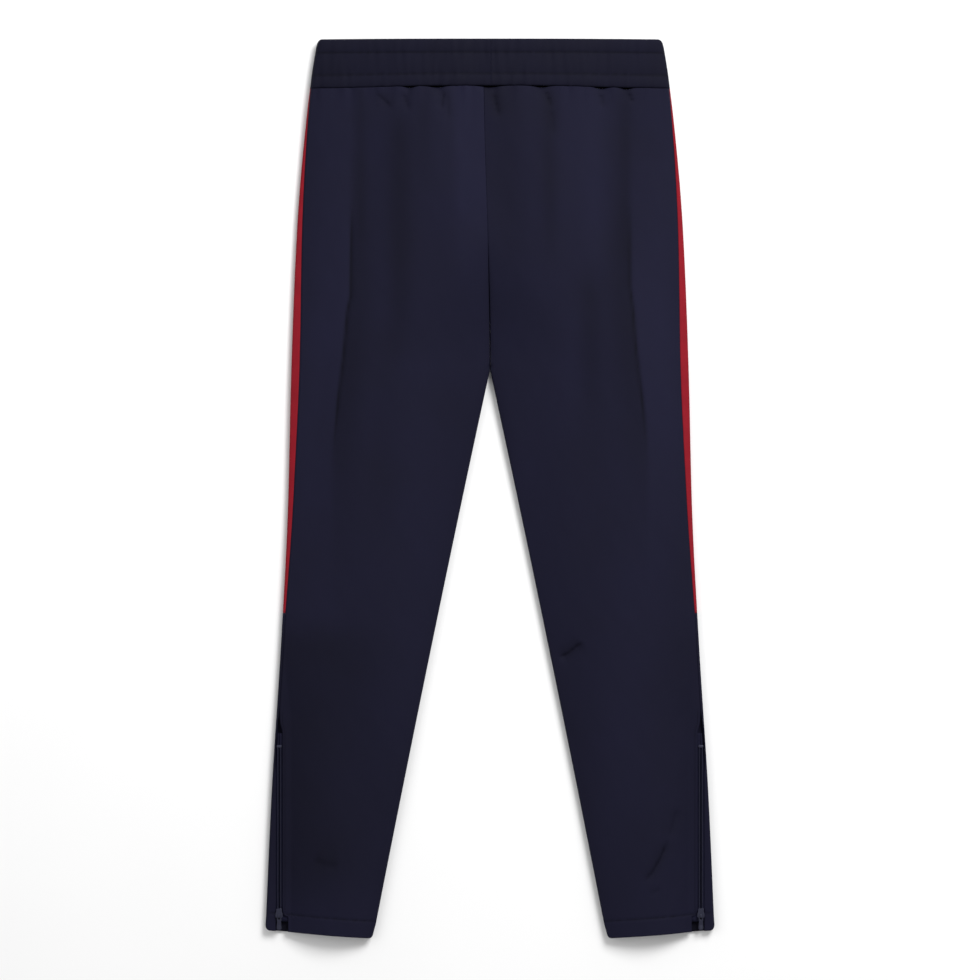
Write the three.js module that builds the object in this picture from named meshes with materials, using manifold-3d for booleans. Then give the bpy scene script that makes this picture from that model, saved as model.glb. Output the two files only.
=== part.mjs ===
// Slim knit track trousers, laid flat on their front with the back upwards.
// Millimetres. +X is the wearer's right, +Y runs from the hems to the waist, +Z is up.
// The origin is the middle of the footprint, on the surface that the trousers lie on.
import * as THREE from "three";
import { mergeVertices } from "three/addons/utils/BufferGeometryUtils.js";
import Module from "manifold-3d";

// Heights, measured along Y from the lowest point of the hems.
const LENGTH = 990;
const WAISTBAND_HEIGHT = 52;
const INSEAM = 626;
const KNEE_HEIGHT = 323;
const STRIPE_END = 348;
const HEM_RISE = 9;
const HEM_DEPTH = 22;
const GUSSET_HEIGHT = 6;

// Half widths of the silhouette, from the centre line to the side.
const WAIST_TOP_REACH = 190;
const WAIST_SEAM_REACH = 198.2;
const HIP_REACH = 212.5;
const CROTCH_REACH = 218.9;
const THIGH_REACH = 222.6;
const KNEE_REACH = 230.3;
const CALF_REACH = 240.5;
const HEM_REACH = 247.8;
const HEM_INNER = 128.7;
const INSEAM_BOW = 1.7;

// Loft of the empty garment: height of the crown, and height of the folded sides.
const WAIST_TOP_LOFT = 24;
const WAIST_SEAM_LOFT = 27;
const HIP_LOFT = 31;
const THIGH_LOFT = 26;
const KNEE_LOFT = 21;
const HEM_LOFT = 19;
const WAIST_SIDE_HEIGHT = 14;
const SIDE_HEIGHT = 9;
const WAIST_SIDE_CORNER = 6.4;
const SIDE_CORNER = 2.6;
const SIDE_SETTLE = 80;

// Cloth.
const CLOTH = 1.8;
const SEAM_GAP = 0.3;
const LAYER_GAP = 0.3;
const CASING_GAP = 0.4;
const HEM_CLOTH = 1.2;
const CASING_CLOTH = 1.2;
const ELASTIC_THICKNESS = 1.4;
const ELASTIC_HEIGHT = 46;

// The side stripe: full width, and how far it shows round the side at five heights.
const STRIPE_WIDTH = 20;
const STRIPE_AT_WAIST = 0.8;
const STRIPE_AT_HIP = 4.2;
const STRIPE_AT_CROTCH = 9;
const STRIPE_AT_THIGH = 5.2;
const STRIPE_AT_END = 2.8;
const STRIPE_CUT_OVERSHOOT = 1;

// Ankle zip.
const ZIP_TOP = 240;
const ZIP_SLOT_TAPER = 12;
const SLOT_HALF = 3.9;
const SLOT_STRIP = 0.7;
const TAPE_THICKNESS = 0.8;
const TAPE_WIDTH = 12;
const TAPE_TOP = 226;
const TAPE_FOOT = 18.5;
const CHAIN_TOP = 210;
const COIL_INNER = 0.7;
const COIL_OUTER = 2.45;
const COIL_HEIGHT = 1.6;
const STOP_LENGTH = 2.5;
const STOP_PROUD = 0.2;
const NOTCH_WIDTH = 10;
const NOTCH_HEIGHT = 22.5;

// Slider and pull tab.
const SLIDER_FOOT = 22.6;
const SLIDER_LENGTH = 10.5;
const SLIDER_HALF_WIDTH = 4;
const SLIDER_TAIL_HALF_WIDTH = 3.1;
const SLIDER_KEEL_HALF_WIDTH = 3.2;
const PLATE_THICKNESS = 1.1;
const POST_HALF_WIDTH = 0.4;
const POST_LENGTH = 3;
const FLANGE_INNER = 2.75;
const FLANGE_OUTER = 3.5;
const FIT = 0.3;
const KEEL_CLEARANCE = 0.4;
const PIVOT_FROM_FOOT = 2.2;
const PIVOT_ABOVE_PLATE = 1;
const ARCH_HALF_WIDTH = 0.8;
const ARCH_HOLE_HALF = 1.05;
const ARCH_HOLE_ABOVE_PIVOT = 0.7;
const ARCH_WALL = 0.85;
const PULL_LENGTH = 15.8;
const PULL_THICKNESS = 0.9;
const PULL_RING_HALF_WIDTH = 2.1;
const PULL_END_HALF_WIDTH = 2.75;
const PULL_EYE_LENGTH = 3.9;
const PULL_SHOULDER = 5;
const PULL_DROOP = THREE.MathUtils.degToRad(8);

const WAIST_SEAM = LENGTH - WAISTBAND_HEIGHT;
const HALF_PI = Math.PI / 2;

const wasm = await Module();
wasm.setup();

// A smooth line through points in rising order, with no overshoot (a monotone cubic).
function through(points) {
  const steps = points.slice(1).map((p, i) => (p[1] - points[i][1]) / (p[0] - points[i][0]));
  const slopes = points.map((p, i) => {
    const before = steps[Math.max(i - 1, 0)];
    const after = steps[Math.min(i, steps.length - 1)];
    return before * after > 0 ? (2 * before * after) / (before + after) : 0;
  });
  return (at) => {
    const x = Math.min(Math.max(at, points[0][0]), points.at(-1)[0]);
    const i = Math.max(0, points.findIndex((p) => p[0] >= x) - 1);
    const [x0, y0] = points[i];
    const [x1, y1] = points[i + 1];
    const w = x1 - x0;
    const t = (x - x0) / w;
    const s = 1 - t;
    return (
      y0 * s * s * (1 + 2 * t) + slopes[i] * w * t * s * s + y1 * t * t * (3 - 2 * t) - slopes[i + 1] * w * t * t * s
    );
  };
}

const sideReach = through([
  [0, HEM_REACH],
  [KNEE_HEIGHT / 2, CALF_REACH],
  [KNEE_HEIGHT, KNEE_REACH],
  [(KNEE_HEIGHT + INSEAM) / 2, THIGH_REACH],
  [INSEAM, CROTCH_REACH],
  [(INSEAM + WAIST_SEAM) / 2, HIP_REACH],
  [WAIST_SEAM, WAIST_SEAM_REACH],
  [LENGTH, WAIST_TOP_REACH],
]);

const loft = through([
  [0, HEM_LOFT],
  [KNEE_HEIGHT, KNEE_LOFT],
  [INSEAM, THIGH_LOFT],
  [(INSEAM + WAIST_SEAM) / 2, HIP_LOFT],
  [WAIST_SEAM, WAIST_SEAM_LOFT],
  [LENGTH, WAIST_TOP_LOFT],
]);

const sideHeight = through([
  [WAIST_SEAM - SIDE_SETTLE, SIDE_HEIGHT],
  [WAIST_SEAM, WAIST_SIDE_HEIGHT],
]);

const sideCorner = through([
  [WAIST_SEAM - SIDE_SETTLE, SIDE_CORNER],
  [WAIST_SEAM, WAIST_SIDE_CORNER],
]);

const stripeShows = through([
  [STRIPE_END, STRIPE_AT_END],
  [(STRIPE_END + INSEAM) / 2, STRIPE_AT_THIGH],
  [INSEAM, STRIPE_AT_CROTCH],
  [(INSEAM + WAIST_SEAM) / 2, STRIPE_AT_HIP],
  [WAIST_SEAM, STRIPE_AT_WAIST],
]);

// The inner edge of a leg. Above the inseam it is the centre line.
function innerReach(height) {
  const t = Math.min(height / INSEAM, 1);
  return SEAM_GAP / 2 + HEM_INNER * (1 - t) + INSEAM_BOW * 4 * t * (1 - t);
}

const legMiddle = (height) => (sideReach(height) + innerReach(height)) / 2;

// The knee folds square to the shin, whose middle leans outwards on its way down.
const SHIN_LEAN = Math.atan2(legMiddle(0) - legMiddle(KNEE_HEIGHT), KNEE_HEIGHT);
const HEM_SLOPE = HEM_RISE / (HEM_REACH - HEM_INNER);
const sectionSlope = through([
  [HEM_RISE / 2, HEM_SLOPE],
  [KNEE_HEIGHT, Math.tan(SHIN_LEAN)],
  [INSEAM, 0],
]);

const spread = (from, to, steps) => Array.from({ length: steps + 1 }, (_, i) => from + ((to - from) * i) / steps);

// The zip runs straight along Y, as near the side as its slider fits where the side comes nearest.
const NEAREST_SIDE = Math.min(...spread(TAPE_FOOT, CHAIN_TOP, 8).map(sideReach));
const ZIP_X = NEAREST_SIDE - CLOTH - KEEL_CLEARANCE - SLIDER_KEEL_HALF_WIDTH;
const SHELF_X = ZIP_X - TAPE_WIDTH - 1;
const TAPE_Z = SIDE_HEIGHT - CLOTH - LAYER_GAP;

// Where the crown of a section starts to fall away towards the side.
function crownEdge(height, side, corner) {
  const shelf = through([
    [ZIP_TOP, SHELF_X],
    [KNEE_HEIGHT, side - corner],
  ]);
  return Math.min(shelf(height), side - corner);
}

// One half of a cross-section: its outer surface as points with normals, from the middle of the
// folded side over the top (the back of the garment) or along the underside (its front).
// Each point carries its distance s along the surface from the middle of the folded side.
function halfSection(height, under) {
  const slope = sectionSlope(height);
  const middle = legMiddle(height);
  const yAt = (x) => height + slope * (x - middle);
  let side = sideReach(height);
  let inner = innerReach(height);
  for (let pass = 0; pass < 4; pass += 1) {
    side = sideReach(yAt(side));
    inner = innerReach(yAt(inner));
  }
  const tall = sideHeight(height);
  const corner = sideCorner(height);
  const crown = loft(height) - tall;
  const joined = height > INSEAM + GUSSET_HEIGHT / 2;
  const rise = THREE.MathUtils.smoothstep(height, INSEAM, (INSEAM + WAIST_SEAM) / 2);
  const peak = 0.5 - 0.35 * rise;
  const edge = crownEdge(height, side, corner);
  const crownAt = (x) => {
    const u = THREE.MathUtils.clamp((x - inner) / (edge - inner), 0, 1);
    if (u > peak) return 1 - ((u - peak) / (1 - peak)) ** 2;
    return 1 - (1 - rise) * ((peak - u) / peak) ** 2;
  };
  const surface = (x) => (under ? 0 : tall + crown * crownAt(x));
  const up = under ? -1 : 1;
  const level = under ? corner : tall - corner;
  const points = [[side, tall / 2]];
  const arcSteps = 6;
  for (let i = 0; i <= arcSteps; i += 1) {
    const a = (i / arcSteps) * HALF_PI;
    points.push([side - corner + corner * Math.cos(a), level + up * corner * Math.sin(a)]);
  }
  const end = joined ? inner : inner + corner;
  const crownSteps = 40;
  for (let i = 1; i <= crownSteps; i += 1) {
    const x = side - corner + (end - side + corner) * (i / crownSteps);
    points.push([x, surface(x)]);
  }
  if (!joined) {
    const top = surface(end);
    const drop = under ? corner : top - corner;
    for (let i = 1; i <= arcSteps; i += 1) {
      const a = HALF_PI + (i / arcSteps) * HALF_PI;
      points.push([end + corner * Math.cos(a), drop + up * corner * Math.sin(a)]);
    }
    points.push([inner, tall / 2]);
  }
  let s = 0;
  const path = points.map(([x, z], i) => {
    if (i > 0) s += Math.hypot(x - points[i - 1][0], z - points[i - 1][1]);
    return { x, z, s };
  });
  const normalAt = (i) => {
    const a = path[Math.max(i - 1, 0)];
    const b = path[Math.min(i + 1, path.length - 1)];
    const long = Math.hypot(b.x - a.x, b.z - a.z) || 1;
    return [(up * (b.z - a.z)) / long, (-up * (b.x - a.x)) / long];
  };
  path.forEach((p, i) => {
    [p.nx, p.nz] = normalAt(i);
  });
  if (joined) {
    path.at(-1).nx = 0;
    path.at(-1).nz = up;
  }
  return { path, yAt, length: s, side, inner, tall, corner };
}

// A point of a half section at distance s, sunk by depth below the surface.
function pointAt(section, s, depth) {
  const { path } = section;
  let i = path.findIndex((p) => p.s >= s);
  if (i < 0) i = path.length - 1;
  i = Math.max(1, i);
  const a = path[i - 1];
  const b = path[i];
  const t = THREE.MathUtils.clamp((s - a.s) / (b.s - a.s || 1), 0, 1);
  const mix = (from, to) => from + (to - from) * t;
  const nx = mix(a.nx, b.nx);
  const nz = mix(a.nz, b.nz);
  const long = Math.hypot(nx, nz) || 1;
  const x = mix(a.x, b.x);
  return new THREE.Vector3(x - (nx / long) * depth, section.yAt(x), mix(a.z, b.z) - (nz / long) * depth);
}

// The distance s at which the upper half section reaches an x.
function reachS(section, x) {
  const i = Math.max(1, section.path.findIndex((p) => p.x <= x && p.s > 0));
  const a = section.path[i - 1];
  const b = section.path[i];
  const t = a.x === b.x ? 0 : THREE.MathUtils.clamp((a.x - x) / (a.x - b.x), 0, 1);
  return a.s + (b.s - a.s) * t;
}

// Closed geometry from rings of points: each ring is joined to the next, and the ends are capped.
function loftSolid(rings, closed = false) {
  const count = rings[0].length;
  const position = rings.flatMap((ring) => ring.flatMap((p) => p.toArray()));
  const index = [];
  const last = closed ? rings.length : rings.length - 1;
  for (let r = 0; r < last; r += 1) {
    const next = (r + 1) % rings.length;
    for (let k = 0; k < count; k += 1) {
      const k1 = (k + 1) % count;
      const quad = [r * count + k, r * count + k1, next * count + k, next * count + k1];
      index.push(quad[0], quad[1], quad[2], quad[2], quad[1], quad[3]);
    }
  }
  if (!closed) {
    for (const [r, flip] of [
      [0, true],
      [rings.length - 1, false],
    ]) {
      const half = count / 2;
      for (let k = 0; k < half - 1; k += 1) {
        const a = r * count + k;
        const b = a + 1;
        const c = r * count + (count - 1 - k);
        const d = c - 1;
        const faces = [a, b, d, a, d, c];
        index.push(...(flip ? faces.reverse() : faces));
      }
    }
  }
  const geometry = new THREE.BufferGeometry();
  geometry.setAttribute("position", new THREE.Float32BufferAttribute(position, 3));
  geometry.setIndex(index);
  return outward(geometry);
}

function volumeOf(geometry) {
  const p = geometry.getAttribute("position");
  const index = geometry.getIndex();
  const [a, b, c] = [new THREE.Vector3(), new THREE.Vector3(), new THREE.Vector3()];
  let volume = 0;
  for (let i = 0; i < index.count; i += 3) {
    a.fromBufferAttribute(p, index.getX(i));
    b.fromBufferAttribute(p, index.getX(i + 1));
    c.fromBufferAttribute(p, index.getX(i + 2));
    volume += a.dot(b.cross(c)) / 6;
  }
  return volume;
}

function flipped(geometry) {
  const index = Array.from(geometry.getIndex().array);
  for (let i = 0; i < index.length; i += 3) {
    [index[i], index[i + 1]] = [index[i + 1], index[i]];
  }
  geometry.setIndex(index);
  return geometry;
}

const outward = (geometry) => (volumeOf(geometry) < 0 ? flipped(geometry) : geometry);

function welded(geometry) {
  geometry.deleteAttribute("normal");
  geometry.deleteAttribute("uv");
  return mergeVertices(geometry, 1e-4);
}

function solid(geometry) {
  const clean = outward(welded(geometry));
  return new wasm.Manifold(
    new wasm.Mesh({
      numProp: 3,
      vertProperties: new Float32Array(clean.getAttribute("position").array),
      triVerts: new Uint32Array(clean.getIndex().array),
    }),
  );
}

function geometryOf(manifold) {
  const mesh = manifold.getMesh();
  const geometry = new THREE.BufferGeometry();
  geometry.setAttribute("position", new THREE.Float32BufferAttribute(mesh.vertProperties, 3));
  geometry.setIndex(Array.from(mesh.triVerts));
  return geometry;
}

const joinedSolid = (geometries) => geometries.map(solid).reduce((whole, next) => whole.add(next));

// A band of cloth: for each height, columns of surface distances between two layers of depth.
// sides gives, for a height, the list of [section, s] pairs across the band.
function band(heights, sides, top, bottom) {
  const rings = heights.map((height) => {
    const columns = sides(height);
    const upper = columns.map(([section, s]) => pointAt(section, s, top));
    const lower = columns.map(([section, s]) => pointAt(section, s, bottom)).reverse();
    return [...upper, ...lower];
  });
  return loftSolid(rings);
}

// Distances s at which a section turns its side corner, and the same seen from its inner end.
function cornerStops(section) {
  const flat = section.tall / 2 - section.corner;
  return [0, 1 / 3, 2 / 3, 1].map((part) => flat + part * HALF_PI * section.corner);
}

// Where the back panel's side edge lies on the upper half section, as a distance s.
function seamS(section, height) {
  const shows = height > STRIPE_END ? stripeShows(height) : STRIPE_AT_END;
  const seam = reachS(section, section.side - shows);
  return seam;
}

// Opening of the zip's slot on each side of its line, from closed at ZIP_TOP to full width.
function slotHalf(height) {
  const t = THREE.MathUtils.clamp((ZIP_TOP - height) / ZIP_SLOT_TAPER, 0, 1);
  return t * SLOT_HALF;
}

function backEdgeS(section, height) {
  if (height > ZIP_TOP) return seamS(section, height) + SEAM_GAP / 2;
  const closed = seamS(section, height) + SEAM_GAP / 2;
  const open = reachS(section, ZIP_X - SLOT_HALF);
  return closed + (open - closed) * (slotHalf(height) / SLOT_HALF);
}

function frontEdgeS(section, height) {
  if (height > ZIP_TOP) return seamS(section, height) - SEAM_GAP / 2;
  const closed = seamS(section, height) - SEAM_GAP / 2;
  const open = reachS(section, Math.min(ZIP_X + SLOT_HALF, section.side - SLOT_STRIP));
  return closed + (open - closed) * (slotHalf(height) / SLOT_HALF);
}

// Columns of a back panel: from its side edge over the crown, and round into the inseam.
function backColumns(height) {
  const section = halfSection(height, false);
  const end = section.length - SEAM_GAP / 2;
  const stops = cornerStops(section).map((s) => section.length - s);
  const start = backEdgeS(section, height);
  const across = spread(start, stops[3], 8);
  return [...across, stops[2], stops[1], stops[0], end].map((s) => [section, s]);
}

// Columns of a front panel: from the inseam along the underside, up the side and over its edge.
function frontColumns(height) {
  const over = halfSection(height, false);
  const below = halfSection(height, true);
  const inner = cornerStops(below).map((s) => below.length - s);
  const side = cornerStops(below);
  const edge = frontEdgeS(over, height);
  const turn = cornerStops(over);
  const squeeze = Math.min(1, (edge - turn[0]) / (turn[3] - turn[0] + 1));
  const wrap = turn.map((s) => turn[0] + (s - turn[0]) * squeeze);
  return [
    ...[below.length - SEAM_GAP / 2, ...inner].map((s) => [below, s]),
    ...spread(inner[3], side[3], 3)
      .slice(1)
      .map((s) => [below, s]),
    ...[side[2], side[1], side[0]].map((s) => [below, s]),
    ...[...wrap, edge].map((s) => [over, s]),
  ];
}

// Columns of the stripe, or of a wider cutter for the space that it is sewn into: past its far edge
// by the margin, and past the back panel's seam by the overshoot.
function stripeColumns(margin, overshoot) {
  return (height) => {
    const over = halfSection(height, false);
    const below = halfSection(height, true);
    const seam = seamS(over, height) - SEAM_GAP / 2;
    const edge = seam + overshoot;
    const far = STRIPE_WIDTH - seam + margin;
    const side = cornerStops(below);
    const turn = cornerStops(over);
    const squeeze = Math.min(1, (edge - turn[0]) / (turn[3] - turn[0] + 1));
    const wrap = turn.map((s) => turn[0] + (s - turn[0]) * squeeze);
    return [
      ...[far, side[3], side[2], side[1], side[0]].map((s) => [below, s]),
      ...[...wrap, edge].map((s) => [over, s]),
    ];
  };
}

const thighHeights = [
  KNEE_HEIGHT + SEAM_GAP / 2,
  ...spread(STRIPE_END - SEAM_GAP, INSEAM, 5),
  ...spread(INSEAM + GUSSET_HEIGHT, WAIST_SEAM - SEAM_GAP / 2, 7),
];

const shinHeights = [
  ...spread(HEM_RISE / 2, CHAIN_TOP, 4),
  ZIP_TOP - ZIP_SLOT_TAPER,
  ZIP_TOP,
  (ZIP_TOP + KNEE_HEIGHT) / 2,
  KNEE_HEIGHT - SEAM_GAP / 2,
];

const stripeHeights = [
  ...spread(STRIPE_END, INSEAM, 5),
  ...spread(INSEAM + GUSSET_HEIGHT, WAIST_SEAM - SEAM_GAP / 2, 7),
];

function thighBack() {
  return band(thighHeights, backColumns, 0, CLOTH);
}

function stripe() {
  return band(stripeHeights, stripeColumns(0, 0), 0, CLOTH);
}

function thighFront() {
  const whole = band(thighHeights, frontColumns, 0, CLOTH);
  const heights = [STRIPE_END - SEAM_GAP, ...stripeHeights.slice(1), WAIST_SEAM + 1];
  const cutter = band(heights, stripeColumns(SEAM_GAP, STRIPE_CUT_OVERSHOOT), -SEAM_GAP, CLOTH + SEAM_GAP);
  return geometryOf(solid(whole).subtract(solid(cutter)));
}

function shinBack() {
  const whole = band(shinHeights, backColumns, 0, CLOTH);
  const notch = new THREE.BoxGeometry(NOTCH_WIDTH, NOTCH_HEIGHT * 2, SIDE_HEIGHT * 2);
  notch.translate(ZIP_X - NOTCH_WIDTH / 2, 0, SIDE_HEIGHT);
  return geometryOf(solid(whole).subtract(solid(notch)));
}

// The front panel is trimmed beside the zip, so that the slider's flange passes it.
function shinFront() {
  const whole = band(shinHeights, frontColumns, 0, CLOTH);
  const half = FLANGE_OUTER + FIT;
  const slot = slab(ZIP_X - half, ZIP_X + half, -HEM_RISE, CHAIN_TOP + STOP_LENGTH + 2 * FIT, TAPE_Z, 2 * SIDE_HEIGHT);
  return geometryOf(solid(whole).subtract(solid(slot)));
}

// The turned-up cloth inside a hem, on the back or the front layer of a leg.
function hemTurnUp(under) {
  const heights = spread(HEM_RISE / 2, HEM_RISE / 2 + HEM_DEPTH, 2);
  const columns = (height) => {
    const section = halfSection(height, under);
    const end = section.length - cornerStops(section)[3] - 1;
    const start = under ? cornerStops(section)[3] + 1 : reachS(section, SHELF_X - 0.5);
    return spread(start, end, 6).map((s) => [section, s]);
  };
  return band(heights, columns, CLOTH + LAYER_GAP, CLOTH + LAYER_GAP + HEM_CLOTH);
}

// The path round half of the waist, from the left side over one layer to the right side.
function waistPath(under) {
  const reference = halfSection(WAIST_SEAM + 1, under);
  const stops = cornerStops(reference);
  const half = [SEAM_GAP / 2, ...stops.slice(1), ...spread(stops[3], reference.length, 10).slice(1)];
  const parts = half.map((s) => s / reference.length);
  return [...parts.map((part) => [part, -1]), ...parts.slice(0, -1).reverse().map((part) => [part, 1])];
}

// A ring of points round the waist's profile, given as [height, depth] pairs.
function waistRing(profile, part, sign, under) {
  return profile.map(([height, depth]) => {
    const section = halfSection(height, under);
    const point = pointAt(section, section.length * part, depth);
    if (part === 1) point.x = 0;
    point.x *= sign;
    return point;
  });
}

// The folded casing of the waistband, open towards the legs.
function waistCasing(under) {
  const foot = WAIST_SEAM + SEAM_GAP / 2;
  const fold = LENGTH - CASING_CLOTH;
  const inner = CASING_CLOTH + 2 * CASING_GAP + ELASTIC_THICKNESS;
  const profile = [
    [foot, 0],
    [LENGTH, 0],
    [LENGTH, inner],
    [LENGTH, inner + CASING_CLOTH],
    [foot, inner + CASING_CLOTH],
    [foot, inner],
    [fold, inner],
    [fold, CASING_CLOTH],
    [foot, CASING_CLOTH],
  ];
  const rings = waistPath(under).map(([part, sign]) => waistRing(profile, part, sign, under));
  return cappedSweep(rings, profile);
}

// As loftSolid, for a profile that isn't convex: its caps are triangulated.
function cappedSweep(rings, profile) {
  const count = profile.length;
  const position = rings.flatMap((ring) => ring.flatMap((p) => p.toArray()));
  const index = [];
  for (let r = 0; r < rings.length - 1; r += 1) {
    for (let k = 0; k < count; k += 1) {
      const k1 = (k + 1) % count;
      const next = r + 1;
      index.push(r * count + k, r * count + k1, next * count + k);
      index.push(next * count + k, r * count + k1, next * count + k1);
    }
  }
  const outline = profile.map(([height, depth]) => new THREE.Vector2(height, depth));
  const caps = THREE.ShapeUtils.triangulateShape(outline, []);
  const clockwise = THREE.ShapeUtils.isClockWise(outline);
  const lastRing = (rings.length - 1) * count;
  for (const [a, b, c] of caps) {
    const [p, q, r] = clockwise ? [a, c, b] : [a, b, c];
    index.push(p, r, q);
    index.push(lastRing + p, lastRing + q, lastRing + r);
  }
  const geometry = new THREE.BufferGeometry();
  geometry.setAttribute("position", new THREE.Float32BufferAttribute(position, 3));
  geometry.setIndex(index);
  return outward(geometry);
}

function waistElastic() {
  const foot = WAIST_SEAM + (WAISTBAND_HEIGHT - CASING_CLOTH - ELASTIC_HEIGHT) / 2;
  const top = foot + ELASTIC_HEIGHT;
  const near = CASING_CLOTH + CASING_GAP;
  const far = near + ELASTIC_THICKNESS;
  const profile = [
    [foot, near],
    [top, near],
    [top, far],
    [foot, far],
  ];
  const over = waistPath(false).map(([part, sign]) => waistRing(profile, part, sign, false));
  const below = waistPath(true).map(([part, sign]) => waistRing(profile, part, sign, true));
  return loftSolid([...over, ...below.reverse()], true);
}

// A flat piece: an outline in X and Y, from one height to another.
function flatPiece(outline, bottom, top) {
  const shape = new THREE.Shape(outline.map(([x, y]) => new THREE.Vector2(x, y)));
  const geometry = new THREE.ExtrudeGeometry(shape, { depth: top - bottom, bevelEnabled: false });
  geometry.translate(0, 0, bottom);
  return outward(welded(geometry));
}

const slab = (x0, x1, y0, y1, z0, z1) =>
  flatPiece(
    [
      [x0, y0],
      [x1, y0],
      [x1, y1],
      [x0, y1],
    ],
    z0,
    z1,
  );

function innerTape() {
  return slab(
    ZIP_X - TAPE_WIDTH,
    ZIP_X - COIL_INNER,
    TAPE_FOOT,
    TAPE_TOP,
    TAPE_Z - TAPE_THICKNESS,
    TAPE_Z,
  );
}

// The outer tape is tucked into the folded side, so its far edge follows the side.
function outerTape() {
  const edge = spread(TAPE_FOOT, TAPE_TOP, 6).map((y) => [
    Math.min(ZIP_X + TAPE_WIDTH, sideReach(y) - SIDE_CORNER - 2 * LAYER_GAP),
    y,
  ]);
  const outline = [[ZIP_X + COIL_INNER, TAPE_FOOT], ...edge, [ZIP_X + COIL_INNER, TAPE_TOP]];
  return flatPiece(outline, TAPE_Z - TAPE_THICKNESS, TAPE_Z);
}

const COIL_Z = TAPE_Z + LAYER_GAP;
const CHAIN_FOOT = SLIDER_FOOT - FIT;

function coil(sign) {
  const bevel = 0.35;
  const section = new THREE.Shape();
  section.moveTo(COIL_INNER, 0);
  section.lineTo(COIL_OUTER, 0);
  section.lineTo(COIL_OUTER, COIL_HEIGHT - bevel);
  section.lineTo(COIL_OUTER - bevel, COIL_HEIGHT);
  section.lineTo(COIL_INNER + bevel, COIL_HEIGHT);
  section.lineTo(COIL_INNER, COIL_HEIGHT - bevel);
  section.closePath();
  const geometry = new THREE.ExtrudeGeometry(section, { depth: CHAIN_TOP - CHAIN_FOOT, bevelEnabled: false });
  geometry.rotateX(HALF_PI);
  geometry.scale(sign, 1, 1);
  geometry.translate(ZIP_X, CHAIN_TOP, COIL_Z);
  return outward(welded(geometry));
}

// A stop crimped on the end of one row, or across both rows.
function chainStop(x0, x1, foot) {
  return slab(x0, x1, foot, foot + STOP_LENGTH, COIL_Z, COIL_Z + COIL_HEIGHT + STOP_PROUD);
}

const PLATE_Z = SIDE_HEIGHT + FIT;
const PIVOT_Y = SLIDER_FOOT + PIVOT_FROM_FOOT;
const PIVOT_Z = PLATE_Z + PLATE_THICKNESS + PIVOT_ABOVE_PLATE;

// Outline of a slider plate: broad where the rows part, narrower where they leave it closed.
function plateOutline(broad, narrow) {
  const foot = SLIDER_FOOT;
  const top = SLIDER_FOOT + SLIDER_LENGTH;
  const right = [
    [broad - 1.2, foot],
    [broad, foot + 1.2],
    [broad, foot + SLIDER_LENGTH * 0.4],
    [narrow, foot + SLIDER_LENGTH * 0.7],
    [narrow, top - 0.8],
    [narrow - 0.8, top],
  ];
  const left = right.map(([x, y]) => [-x, y]).reverse();
  return [...right, ...left].map(([x, y]) => [ZIP_X + x, y]);
}

function slider() {
  const keelTop = TAPE_Z - TAPE_THICKNESS - FIT;
  const plateTop = PLATE_Z + PLATE_THICKNESS;
  const flangeFoot = SLIDER_FOOT + 1.4;
  const flangeTop = SLIDER_FOOT + SLIDER_LENGTH * 0.45;
  const holeTop = PIVOT_Z + ARCH_HOLE_ABOVE_PIVOT;
  const archReach = ARCH_HOLE_HALF + ARCH_WALL;
  const pieces = [
    flatPiece(plateOutline(SLIDER_HALF_WIDTH, SLIDER_TAIL_HALF_WIDTH), PLATE_Z, plateTop),
    flatPiece(plateOutline(SLIDER_KEEL_HALF_WIDTH, SLIDER_KEEL_HALF_WIDTH - 0.5), keelTop - PLATE_THICKNESS, keelTop),
    slab(
      ZIP_X - POST_HALF_WIDTH,
      ZIP_X + POST_HALF_WIDTH,
      SLIDER_FOOT + 0.8,
      SLIDER_FOOT + 0.8 + POST_LENGTH,
      keelTop - 0.2,
      PLATE_Z + 0.2,
    ),
    ...[-1, 1].map((sign) => {
      const edges = [sign * FLANGE_INNER, sign * FLANGE_OUTER].sort((a, b) => a - b);
      return slab(ZIP_X + edges[0], ZIP_X + edges[1], flangeFoot, flangeTop, COIL_Z, PLATE_Z + 0.2);
    }),
    slab(
      ZIP_X - ARCH_HALF_WIDTH,
      ZIP_X + ARCH_HALF_WIDTH,
      PIVOT_Y - archReach,
      PIVOT_Y + archReach,
      plateTop - 0.2,
      holeTop + ARCH_WALL,
    ),
  ];
  const hole = slab(
    ZIP_X - 2 * ARCH_HALF_WIDTH,
    ZIP_X + 2 * ARCH_HALF_WIDTH,
    PIVOT_Y - ARCH_HOLE_HALF,
    PIVOT_Y + ARCH_HOLE_HALF,
    plateTop,
    holeTop,
  );
  return geometryOf(joinedSolid(pieces).subtract(solid(hole)));
}

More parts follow.
